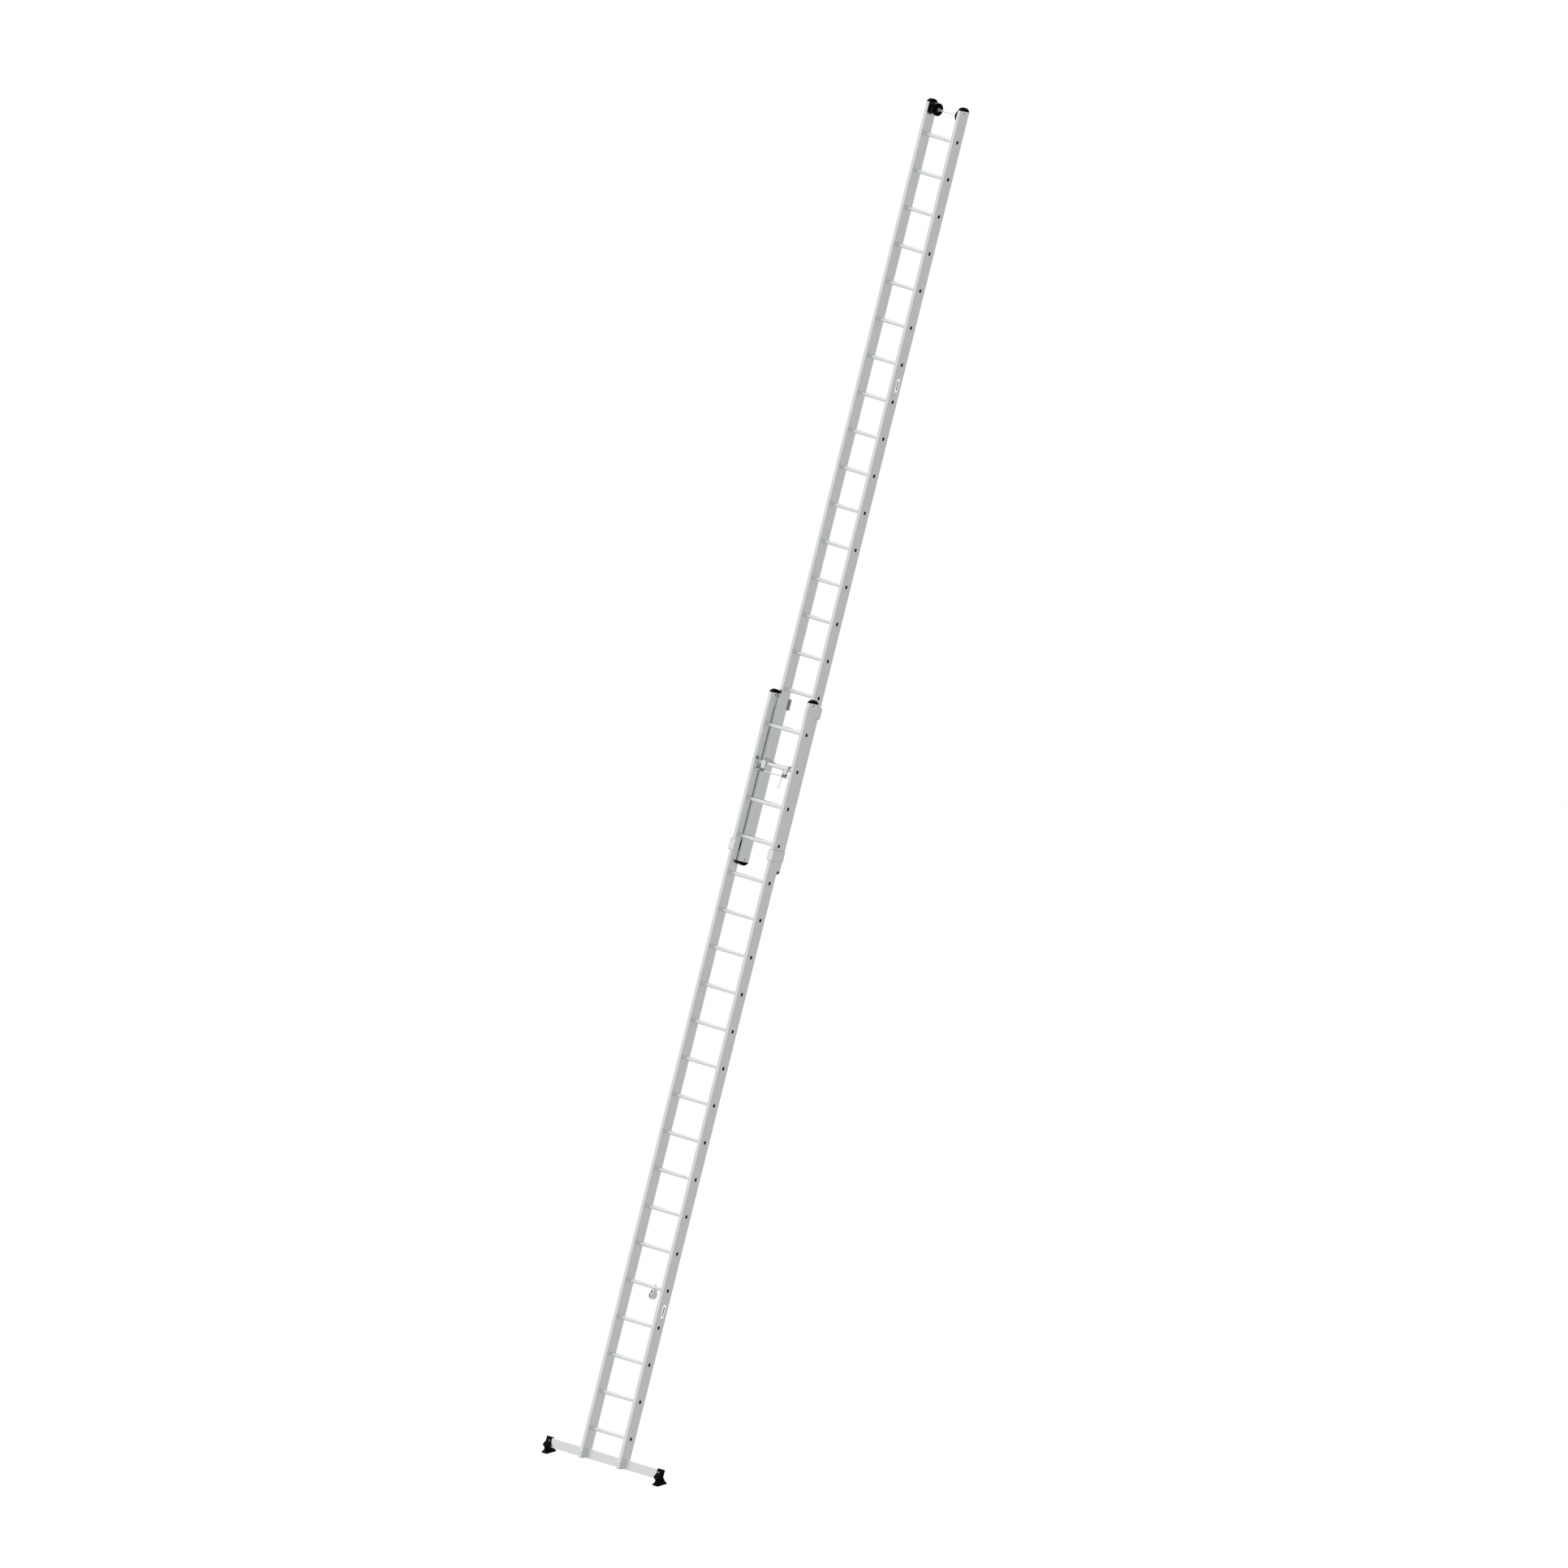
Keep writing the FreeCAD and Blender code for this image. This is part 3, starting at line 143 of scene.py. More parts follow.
def make_floor():
    """A plain white floor inside a distant white globe, which only the view sees."""
    radius, pole_radius, ring_count, steps = 150.0, 0.5, 48, 12
    bm = bmesh.new()
    centre = bm.verts.new((0, 0, 0))
    rings = []
    for step in range(-steps, steps + 1):
        rise = math.radians(90) * step / steps
        ring_radius = max(radius * math.cos(rise), pole_radius)
        height = radius * math.sin(rise)
        rings.append([
            bm.verts.new((
                ring_radius * math.cos(math.tau * k / ring_count),
                ring_radius * math.sin(math.tau * k / ring_count),
                height,
            ))
            for k in range(ring_count)
        ])
    for k in range(ring_count):
        bm.faces.new((centre, rings[steps][k], rings[steps][(k + 1) % ring_count]))
    for low, high in zip(rings, rings[1:]):
        for k in range(ring_count):
            after = (k + 1) % ring_count
            bm.faces.new((low[k], low[after], high[after], high[k]))
    mesh = bpy.data.meshes.new("floor")
    bm.to_mesh(mesh)
    bm.free()
    floor = bpy.data.objects.new("floor", mesh)
    bpy.context.scene.collection.objects.link(floor)
    white = bpy.data.materials.new("white_floor")
    white.use_nodes = True
    nodes, links = white.node_tree.nodes, white.node_tree.links
    nodes.clear()
    glow = nodes.new("ShaderNodeEmission")
    glow.inputs["Color"].default_value = (1, 1, 1, 1)
    glow.inputs["Strength"].default_value = 1
    output = nodes.new("ShaderNodeOutputMaterial")
    links.new(glow.outputs["Emission"], output.inputs["Surface"])
    mesh.materials.append(white)
    floor.visible_glossy = False
    floor.visible_diffuse = False
    floor.visible_shadow = False


bpy.context.scene.view_settings.view_transform = "Standard"
make_camera()
make_world()
make_lamp("key", 0.30, (0.35, 0.75, -0.75), seen_in_metal=True)
make_lamp("fill", 0.95, (-0.90, 0.30, -0.20), seen_in_metal=False)
make_floor()


# ---- materials -----------------------------------------------------------------------------------

NOISE_ROUGHNESS, NOISE_MIDDLE = 0.55, (0.3, 0.7)


class Look:
    """One material under construction: a Principled shader and the nodes that vary it."""

    def __init__(self, name, metallic, roughness, colour, grain_turn=0.0):
        self.material = bpy.data.materials.new(name)
        self.material.use_nodes = True
        self.nodes = self.material.node_tree.nodes
        self.links = self.material.node_tree.links
        self.shader = self.nodes["Principled BSDF"]
        self.shader.inputs["Metallic"].default_value = metallic
        self.shader.inputs["Roughness"].default_value = roughness
        self.shader.inputs["Base Color"].default_value = (*colour, 1)
        self.place = self.nodes.new("ShaderNodeTexCoord")
        self.turned = self.nodes.new("ShaderNodeMapping")
        self.turned.inputs["Rotation"].default_value = (grain_turn, 0, 0)
        self.links.new(self.place.outputs["Object"], self.turned.inputs["Vector"])
        self.bump_end = None

    def noise(self, stretch, detail):
        """A noise whose number of waves per metre along each axis is given by stretch."""
        scaled = self.nodes.new("ShaderNodeMapping")
        scaled.inputs["Scale"].default_value = stretch
        self.links.new(self.turned.outputs["Vector"], scaled.inputs["Vector"])
        texture = self.nodes.new("ShaderNodeTexNoise")
        texture.inputs["Scale"].default_value = 1.0
        texture.inputs["Detail"].default_value = detail
        texture.inputs["Roughness"].default_value = NOISE_ROUGHNESS
        self.links.new(scaled.outputs["Vector"], texture.inputs["Vector"])
        return texture.outputs["Fac"]

    def cells(self, scale):
        """The distance to the nearest of scattered points, scale of them per metre."""
        texture = self.nodes.new("ShaderNodeTexVoronoi")
        texture.inputs["Scale"].default_value = scale
        self.links.new(self.turned.outputs["Vector"], texture.inputs["Vector"])
        return texture.outputs["Distance"]

    def vary_roughness(self, value, low, high):
        """Run the roughness from low to high over the middle of a noise's values."""
        ranged = self.nodes.new("ShaderNodeMapRange")
        ranged.inputs["From Min"].default_value = NOISE_MIDDLE[0]
        ranged.inputs["From Max"].default_value = NOISE_MIDDLE[1]
        ranged.inputs["To Min"].default_value = low
        ranged.inputs["To Max"].default_value = high
        self.links.new(value, ranged.inputs["Value"])
        self.links.new(ranged.outputs["Result"], self.shader.inputs["Roughness"])

    def vary_colour(self, value, first, second, between):
        """Run the colour from first to second as the value goes through the range between."""
        ramp = self.nodes.new("ShaderNodeValToRGB")
        for stop, place, colour in zip(ramp.color_ramp.elements, between, (first, second)):
            stop.position = place
            stop.color = (*colour, 1)
        self.links.new(value, ramp.inputs["Fac"])
        self.links.new(ramp.outputs["Color"], self.shader.inputs["Base Color"])

    def bump(self, value, height, strength):
        """Add relief of the given height in metres on top of what is there."""
        node = self.nodes.new("ShaderNodeBump")
        node.inputs["Distance"].default_value = height
        node.inputs["Strength"].default_value = strength
        self.links.new(value, node.inputs["Height"])
        if self.bump_end is not None:
            self.links.new(self.bump_end, node.inputs["Normal"])
        self.bump_end = node.outputs["Normal"]
        self.links.new(self.bump_end, self.shader.inputs["Normal"])


def grey(level):
    """A neutral grey with the faint green-blue cast of bare aluminium."""
    return (level * 0.985, level * 1.015, level * 1.0)


def extruded(name, level, lines, roughness=0.20):
    """Satin extruded aluminium, with die lines drawn out along one axis and a faint cloud."""
    look = Look(name, 1.0, roughness, grey(level), math.radians(90) - LEAN)
    drawn = look.noise(lines, 3.0)
    cloud = look.noise((9, 9, 3), 3.0)
    look.vary_colour(cloud, grey(level * 0.985), grey(level * 1.015), NOISE_MIDDLE)
    look.vary_roughness(drawn, roughness - 0.03, roughness + 0.04)
    look.bump(drawn, 0.00002, 0.4)
    return look.material


def sheet_metal(name, level, roughness=0.36):
    """Pressed sheet or plated steel: fine rolled grain with soft cloudy spangle."""
    look = Look(name, 1.0, roughness, grey(level), math.radians(90) - LEAN)
    fine = look.noise((900, 900, 260), 2.0)
    cloud = look.noise((60, 60, 60), 4.0)
    look.vary_colour(cloud, grey(level * 0.93), grey(level * 1.04), NOISE_MIDDLE)
    look.vary_roughness(cloud, roughness - 0.07, roughness + 0.08)
    look.bump(fine, 0.00004, 0.5)
    return look.material


def moulded(name, colour, roughness, grain, depth, scuff=1.35, shine=0.025):
    """Moulded plastic or rubber: eroded grain, with colour a little lighter where it is scuffed."""
    look = Look(name, 0.0, roughness, colour)
    look.shader.inputs["Specular IOR Level"].default_value = shine
    cloud = look.noise((45, 45, 45), 5.0)
    look.vary_colour(cloud, colour, tuple(c * scuff for c in colour), (0.45, 0.8))
    look.vary_roughness(cloud, roughness - 0.06, roughness + 0.1)
    look.bump(look.cells(grain), depth, 0.7)
    look.bump(look.noise((grain * 2, grain * 2, grain * 2), 2.0), depth / 2, 0.5)
    return look.material


BAR_LENGTH_SHARE, BAR_WIDTH_SHARE = 0.72, 0.40
WHITE_FILM, DARK_PRINT = (0.97, 0.97, 0.97), (0.035, 0.040, 0.110)


def film(name):
    """White film with a soft gloss, a slight ripple and one plain dark bar printed on it."""
    look = Look(name, 0.0, 0.32, (1.0, 1.0, 1.0))
    ripple = look.noise((30, 30, 30), 2.0)
    print_place = look.nodes.new("ShaderNodeSeparateXYZ")
    look.links.new(look.place.outputs["UV"], print_place.inputs["Vector"])
    masks = []
    for axis, share in (("X", BAR_LENGTH_SHARE), ("Y", BAR_WIDTH_SHARE)):
        inside = look.nodes.new("ShaderNodeMath")
        inside.operation = "COMPARE"
        inside.inputs[1].default_value = 0.5
        inside.inputs[2].default_value = share / 2
        look.links.new(print_place.outputs[axis], inside.inputs[0])
        masks.append(inside.outputs["Value"])
    printed = look.nodes.new("ShaderNodeMath")
    printed.operation = "MULTIPLY"
    look.links.new(masks[0], printed.inputs[0])
    look.links.new(masks[1], printed.inputs[1])
    look.vary_colour(printed.outputs["Value"], WHITE_FILM, DARK_PRINT, (0.4, 0.6))
    look.bump(ripple, 0.00015, 0.3)
    look.shader.inputs["Coat Weight"].default_value = 0.3
    return look.material


BLACK = (0.0010, 0.0010, 0.0010)
SOFT_BLACK = (0.0013, 0.0013, 0.0013)
DIE_LINES, RUNG_LINES, BAR_LINES = (1500, 700, 2), (4, 900, 900), (3, 900, 900)
LOOKS = {
    "stile_aluminium": extruded("stile_metal", 0.74, DIE_LINES),
    "rung_aluminium": extruded("rung_metal", 0.68, RUNG_LINES, 0.34),
    "bar_aluminium": extruded("bar_metal", 0.70, BAR_LINES, 0.30),
    "guide_aluminium": sheet_metal("guide_metal", 0.74),
    "rivet_aluminium": sheet_metal("rivet_metal", 0.80, 0.28),
    "zinc_steel": sheet_metal("zinc_plate", 0.66, 0.30),
    "hook_metal": sheet_metal("hook_plate", 0.72, 0.34),
    "plug_plastic": moulded("plug_black", BLACK, 0.50, 900, 0.00005),
    "cap_plastic": moulded("cap_black", BLACK, 0.48, 700, 0.00007),
    "glide_plastic": moulded("glide_grey", (0.26, 0.27, 0.27), 0.40, 900, 0.00004, 1.1, 0.3),
    "shoe_plastic": moulded("shoe_black", SOFT_BLACK, 0.45, 500, 0.00010, 1.7),
    "sole_rubber": moulded("sole_black", SOFT_BLACK, 0.75, 400, 0.00012, 2.0),
    "wheel_rubber": moulded("wheel_black", BLACK, 0.65, 450, 0.00008, 1.8),
    "hub_plastic": moulded("hub_grey", (0.17, 0.175, 0.175), 0.45, 700, 0.00005, 1.08, 0.3),
    "latch_plastic": moulded("latch_grey", (0.14, 0.145, 0.145), 0.45, 700, 0.00006, 1.15, 0.3),
    "pulley_metal": sheet_metal("pulley_cast", 0.76, 0.38),
    "label_film": film("label_white"),
}


# ---- shapes --------------------------------------------------------------------------------------

def own_copy(node):
    """A bmesh of a CAD node in ladder axes, with its split vertices joined again."""
    bm = bmesh.new()
    bm.from_mesh(frame["nodes"][node].data)
    bmesh.ops.remove_doubles(bm, verts=bm.verts, dist=0.000002)
    bm.transform(TO_LADDER.to_4x4())
    return bm


def box_of(points):
    """The lowest and highest corners round some points."""
    points = list(points)
    low = Vector(tuple(min(p[axis] for p in points) for axis in range(3)))
    high = Vector(tuple(max(p[axis] for p in points) for axis in range(3)))
    return low, high


def solid_boxes(node):
    """The box in ladder axes of each separate solid of a CAD node, lowest and leftmost first."""
    bm = own_copy(node)
    left, boxes = set(bm.verts), []
    while left:
        start = left.pop()
        found, to_search = [start], [start]
        while to_search:
            for edge in to_search.pop().link_edges:
                for vert in edge.verts:
                    if vert in left:
                        left.remove(vert)
                        found.append(vert)
                        to_search.append(vert)
        boxes.append(box_of(vert.co for vert in found))
    bm.free()
    return sorted(boxes, key=lambda box: (round(box[0].z, 5), box[0].x))


def node_box(node):
    """A whole CAD node's box in ladder axes."""
    mesh = frame["nodes"][node].data
    return box_of(TO_LADDER @ vert.co for vert in mesh.vertices)


def add_piece(name, bm, *nodes, stands_for_it=True):
    """Turn a bmesh in ladder axes into a piece that stands for CAD nodes, or is added to them."""
    bm.transform(TO_ROW.to_4x4())
    bmesh.ops.recalc_face_normals(bm, faces=bm.faces)
    for face in bm.faces:
        face.smooth = True
    for edge in bm.edges:
        edge.smooth = len(edge.link_faces) == 2 and edge.calc_face_angle(0) < SMOOTH_ANGLE
    mesh = bpy.data.meshes.new(name)
    bm.to_mesh(mesh)
    bm.free()
    piece = bpy.data.objects.new(name, mesh)
    bpy.context.scene.collection.objects.link(piece)
    mesh.materials.append(LOOKS[SLOT_OF[nodes[0]]])
    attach(piece, BODY_OF[nodes[0]])
    if stands_for_it:
        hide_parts(*nodes)
    return piece


def soften(piece, width, segments):
    """Round a piece's hard edges."""
    bevel = piece.modifiers.new("rounded_edges", "BEVEL")
    bevel.width = width
    bevel.segments = segments
    bevel.limit_method = "ANGLE"
    bevel.angle_limit = math.radians(34)
    bevel.miter_outer = "MITER_ARC"
    bevel.harden_normals = True
    bevel.use_clamp_overlap = True
    return piece


def rounded_copy(node, width):
    """The CAD node's own shape, with its facets joined to whole faces and its edges rounded."""
    bm = own_copy(node)
    bmesh.ops.dissolve_limit(
        bm, angle_limit=math.radians(0.6), verts=bm.verts, edges=bm.edges, delimit=set()
    )
    return soften(add_piece(f"{node}_shape", bm, node), width, 3)


CORNER_STEPS = 6


def corner_arc(before, corner, after, radius, steps):
    """Points on the arc that rounds one corner of an outline."""
    arrive, leave = (corner - before).normalized(), (after - corner).normalized()
    turn = arrive.angle(leave)
    if turn < 1e-4:
        return [corner]
    back = radius * math.tan(turn / 2)
    start = corner - arrive * back
    side = 1 if arrive.x * leave.y - arrive.y * leave.x > 0 else -1
    inward = Vector((-arrive.y, arrive.x)) * side
    centre = start + inward * radius
    points = []
    for step in range(steps + 1):
        angle = side * turn * step / steps
        out = start - centre
        points.append(centre + Vector((
            out.x * math.cos(angle) - out.y * math.sin(angle),
            out.x * math.sin(angle) + out.y * math.cos(angle),
        )))
    return points


def rounded_outline(corners):
    """An outline from corners given as (x, y, radius)."""
    points = [Vector((x, y)) for x, y, _ in corners]
    outline = []
    for index, (_, _, radius) in enumerate(corners):
        before, after = points[index - 1], points[(index + 1) % len(points)]
        if radius:
            outline += corner_arc(before, points[index], after, radius, CORNER_STEPS)
        else:
            outline.append(points[index])
    return outline


def prism(bm, outline, low, high, axes):
    """Push a flat outline from low to high along the axis that axes leaves out."""
    along = ({0, 1, 2} - set(axes)).pop()
    rings = []
    for level in (low, high):
        ring = []
        for point in outline:
            place = [0.0, 0.0, 0.0]
            place[axes[0]], place[axes[1]], place[along] = point[0], point[1], level
            ring.append(bm.verts.new(place))
        rings.append(ring)
    count = len(outline)
    for k in range(count):
        after = (k + 1) % count
        bm.faces.new((rings[0][k], rings[0][after], rings[1][after], rings[1][k]))
    bm.faces.new(rings[0])
    bm.faces.new(list(reversed(rings[1])))


def turned(bm, profile, centre, along, segments):
    """Turn a profile of (distance along, radius) about an axis.

    The profile closes on itself unless it starts or ends on the axis.
    """
    along = along.normalized()
    first = along.orthogonal().normalized()
    second = along.cross(first)
    rings = []
    for distance, radius in profile:
        middle = centre + along * distance
        if radius < 1e-7:
            rings.append([bm.verts.new(middle)])
            continue
        rings.append([
            bm.verts.new(
                middle
                + first * radius * math.cos(math.tau * k / segments)
                + second * radius * math.sin(math.tau * k / segments)
            )
            for k in range(segments)
        ])
    pairs = list(zip(rings, rings[1:]))
    if len(rings[0]) > 1 and len(rings[-1]) > 1:
        pairs.append((rings[-1], rings[0]))
    for low, high in pairs:
        for k in range(segments):
            after = (k + 1) % segments
            corners = [
                low[k % len(low)], low[after % len(low)],
                high[after % len(high)], high[k % len(high)],
            ]
            distinct = list(dict.fromkeys(corners))
            if len(distinct) > 2:
                bm.faces.new(distinct)


def arc_profile(centre, radius, start, end, steps):
    """Profile points on an arc, its angles in degrees from the turning axis's direction."""
    return [
        (
            centre[0] + radius * math.cos(math.radians(start + (end - start) * k / steps)),
            centre[1] + radius * math.sin(math.radians(start + (end - start) * k / steps)),
        )
        for k in range(steps + 1)
    ]


# ---- rungs ---------------------------------------------------------------------------------------

RUNG_CORNER, RUNG_WALL = 7 * MM, 1.6 * MM
RIB_COUNT, RIB_STEPS, RIB_DEPTH = 36, 6, 0.18 * MM
BEAD_POINTS = 72
COLLAR = [(grow * MM, away * MM) for grow, away in (
    (-0.3, 0), (0.9, 0), (0.9, 0.6), (0.6, 1.1), (-0.3, 1.4),
)]
SWAGED_RIM = [(grow * MM, away * MM) for grow, away in (
    (-1.5, -0.4), (-1.5, 0.15), (-1.2, 0.3), (1.7, 0.3), (2.1, 0.15), (2.2, -0.4),
)]


def round_box_point(half_y, half_z, corner, share):
    """A place on a rounded rectangle, and the outward direction there, share of the way round."""
    flat_y, flat_z, arc = 2 * (half_y - corner), 2 * (half_z - corner), math.pi / 2 * corner
    walk = share * (2 * flat_y + 2 * flat_z + 4 * arc)
    y, z = half_y - corner, -(half_z - corner)
    for quarter, flat in enumerate((flat_z, flat_y, flat_z, flat_y)):
        turn = quarter * math.pi / 2
        out = Vector((math.cos(turn), math.sin(turn)))
        ahead = Vector((-out.y, out.x))
        if walk <= flat:
            return Vector((y, z)) + out * corner + ahead * walk, out
        walk -= flat
        y, z = y + ahead.x * flat, z + ahead.y * flat
        if walk <= arc:
            angle = turn + walk / corner
            out = Vector((math.cos(angle), math.sin(angle)))
            return Vector((y, z)) + out * corner, out
        walk -= arc
    return Vector((y, z)) + Vector((1, 0)) * corner, Vector((1, 0))


def loop_points(half_y, half_z, corner, count, ribs=0, depth=0.0):
    """Evenly spaced points round a rounded rectangle, with grooves between its ribs."""
    points = []
    for k in range(count):
        place, out = round_box_point(half_y, half_z, corner, k / count)
        groove = depth * (0.5 - 0.5 * math.cos(math.tau * ribs * k / count)) ** 2 if ribs else 0.0
        points.append(place - out * groove)
    return points


def skin(bm, rings):
    """Faces between rings of equally many vertices, and from the last ring back to the first."""
    for low, high in zip(rings, rings[1:] + rings[:1]):
        count = len(low)
        for k in range(count):
            bm.faces.new((low[k], low[(k + 1) % count], high[(k + 1) % count], high[k]))


def ribbed_rungs(section):
    """Hollow ribbed rungs with a pressed collar inside each stile and a swaged rim outside it."""
    node = f"{section}_rungs"
    stile_inner = node_box(f"{section}_stile_right")[0].x
    bm = bmesh.new()
    count = RIB_COUNT * RIB_STEPS
    for low, high in solid_boxes(node):
        middle, half = (low + high) / 2, (high - low) / 2
        outer = loop_points(half.y, half.z, RUNG_CORNER, count, RIB_COUNT, RIB_DEPTH)
        inner_corner = RUNG_CORNER - RUNG_WALL
        inner = loop_points(half.y - RUNG_WALL, half.z - RUNG_WALL, inner_corner, count)
        rings = []
        for points, x in ((inner, -half.x), (outer, -half.x), (outer, half.x), (inner, half.x)):
            rings.append([bm.verts.new((x, middle.y + p.x, middle.z + p.y)) for p in points])
        skin(bm, rings)
        for side in (-1, 1):
            bead(bm, middle, half, side, stile_inner, -1, COLLAR)
            bead(bm, middle, half, side, half.x, 1, SWAGED_RIM)
    add_piece(f"{node}_ribbed", bm, node)


def bead(bm, middle, half, side, start, way, profile):
    """A ring round the rung, from (how far outside its skin, how far along it from start)."""
    rings = []
    for grow, away in profile:
        points = loop_points(half.y + grow, half.z + grow, RUNG_CORNER + grow, BEAD_POINTS)
        x = side * (start + way * away)
        rings.append([bm.verts.new((x, middle.y + p.x, middle.z + p.y)) for p in points])
    skin(bm, rings)


# ---- sheet brackets, rivets and bolts ------------------------------------------------------------

SHEET = 3 * MM
PLATE = 3.5 * MM
STRAP_REAR = 23 * MM
OUTER_BEND, INNER_BEND, EDGE = 5 * MM, 2 * MM, 0.6 * MM


def bent_bracket(node, corners):
    """A bracket of bent sheet, the same on both sides, given as the right one's outline."""
    for side, sign in SIDES.items():
        low, high = node_box(f"{node}_{side}")
        bm = bmesh.new()
        prism(bm, rounded_outline(corners), low.z, high.z, (0, 1))
        if sign < 0:
            bm.transform(MIRROR.to_4x4())
        soften(add_piece(f"{node}_{side}_bent", bm, f"{node}_{side}"), EDGE, 2)


def top_guides():
    low, high = node_box("top_guide_right")
    stile_inner = node_box("lower_stile_right")[0].x
    plate_x = stile_inner - PLATE
    bent_bracket("top_guide", [
        (plate_x, low.y, OUTER_BEND), (high.x, low.y, 0), (high.x, low.y + SHEET, 0),
        (stile_inner, low.y + SHEET, INNER_BEND), (stile_inner, high.y, OUTER_BEND),
        (low.x, high.y, 0), (low.x, high.y - SHEET, 0), (plate_x, high.y - SHEET, INNER_BEND),
    ])


def bottom_guides():
    low, high = node_box("bottom_guide_right")
    fly_outer = node_box("upper_stile_right")[1].x
    rear = node_box("bottom_glide_right")[1].y + STRAP_REAR
    bent_bracket("bottom_guide", [
        (low.x, low.y, 0), (high.x, low.y, OUTER_BEND), (high.x, rear, OUTER_BEND),
        (fly_outer + SHEET, rear, INNER_BEND), (fly_outer + SHEET, high.y, 0),
        (fly_outer, high.y, 0),
        (fly_outer, rear - SHEET, OUTER_BEND), (high.x - SHEET, rear - SHEET, INNER_BEND),
        (high.x - SHEET, low.y + SHEET, INNER_BEND), (low.x, low.y + SHEET, 0),
    ])


SHOE_WALL = 2.5 * MM
RIVET_RADIUS, GUIDE_HEAD_RADIUS, SHOE_HEAD_RADIUS = 2.5 * MM, 5 * MM, 4.5 * MM
BOLT_RADIUS, BOLT_HEAD_RADIUS, BOLT_HEAD_HEIGHT = 5 * MM, 9.5 * MM, 6 * MM
DOME_STEPS, HEAD_SEGMENTS = 8, 32


def dome_profile(shank_length, shank_radius, head_height, head_radius):
    """A rivet or bolt from its shank's end to the top of its domed head."""
    chamfer, edge = shank_radius * 0.15, head_height * 0.25
    profile = [(0, 0), (0, shank_radius - chamfer), (chamfer, shank_radius)]
    profile += [(shank_length, shank_radius), (shank_length, head_radius)]
    for step in range(DOME_STEPS + 1):
        angle = math.radians(90) * step / DOME_STEPS
        rise = edge + (head_height - edge) * math.sin(angle)
        profile.append((shank_length + rise, head_radius * math.cos(angle)))
    profile[-1] = (shank_length + head_height, 0)
    return profile


def rivets(node, axis, outward, shank_length, shank_radius, head_radius):
    """Each rivet's head is at the end of its box that outward(box middle) points to."""
    bm = bmesh.new()
    for low, high in solid_boxes(node):
        middle = (low + high) / 2
        way = outward(middle)
        length = high[axis] - low[axis]
        start = middle.copy()
        start[axis] = low[axis] if way > 0 else high[axis]
        direction = Vector()
        direction[axis] = way
        profile = dome_profile(shank_length, shank_radius, length - shank_length, head_radius)
        turned(bm, profile, start, direction, HEAD_SEGMENTS)
    add_piece(f"{node}_domed", bm, node)


def all_rivets():
    rivets(
        "top_guide_rivets", 0, lambda m: -1 if m.x > 0 else 1, PLATE, RIVET_RADIUS, GUIDE_HEAD_RADIUS
    )
    rivets(
        "bottom_guide_rivets", 0, lambda m: 1 if m.x > 0 else -1, SHEET, RIVET_RADIUS, GUIDE_HEAD_RADIUS
    )
    rivets("shoe_rivets", 1, lambda m: -1, SHOE_WALL, RIVET_RADIUS, SHOE_HEAD_RADIUS)
    low, high = node_box("base_bar_bolts")
    bolt_length = high.y - low.y - BOLT_HEAD_HEIGHT
    rivets("base_bar_bolts", 1, lambda m: -1, bolt_length, BOLT_RADIUS, BOLT_HEAD_RADIUS)


# ---- labels --------------------------------------------------------------------------------------

LABEL_CORNER_SHARE = 0.22


def labels():
    """Thin plates with rounded corners, mapped along the stile for the printed bar."""
    for node in sorted(name for name, slot in SLOT_OF.items() if slot == "label_film"):
        low, high = node_box(node)
        corner = (high.y - low.y) * LABEL_CORNER_SHARE
        bm = bmesh.new()
        prism(bm, rounded_outline([
            (low.y, low.z, corner), (high.y, low.z, corner),
            (high.y, high.z, corner), (low.y, high.z, corner),
        ]), low.x, high.x, (1, 2))
        print_map = bm.loops.layers.uv.new("print")
        for face in bm.faces:
            for loop in face.loops:
                place = loop.vert.co
                loop[print_map].uv = (
                    (place.z - low.z) / (high.z - low.z), (place.y - low.y) / (high.y - low.y)
                )
        add_piece(f"{node}_plate", bm, node)


# ---- snap pips -----------------------------------------------------------------------------------

PIP_DROP, PIP_RADIUS, PIP_PROUD = 17.5 * MM, 5.4 * MM, 0.8 * MM
PIP_SHANK, PIP_SUNK = 3.8 * MM, 1 * MM


def snap_pips():
    """The low round heads of the end caps' snap pips, on both faces of each stile."""
    for cap in sorted(node for node, slot in SLOT_OF.items() if slot == "cap_plastic"):
        section, place, _, side = cap.split("_")
        low, high = node_box(f"{section}_stile_{side}")
        height = high.z - PIP_DROP if place == "top" else low.z + PIP_DROP
        profile = dome_profile(PIP_SUNK, PIP_SHANK, PIP_PROUD, PIP_RADIUS)
        bm = bmesh.new()
        for face, way in ((low.x, -1), (high.x, 1)):
            start = Vector((face - way * PIP_SUNK, (low.y + high.y) / 2, height))
            turned(bm, profile, start, ACROSS * way, HEAD_SEGMENTS)
        add_piece(f"{cap}_pip_heads", bm, cap, stands_for_it=False)


# ---- rollers and pulley --------------------------------------------------------------------------

AXLE_BORE, SHEAVE_BORE = 4.6 * MM, 5.1 * MM
NOSE_RADIUS, CONE_SHARE, HUB_RINGS, HUB_RING_DEPTH = 7.5 * MM, 0.82, 4, 0.6 * MM


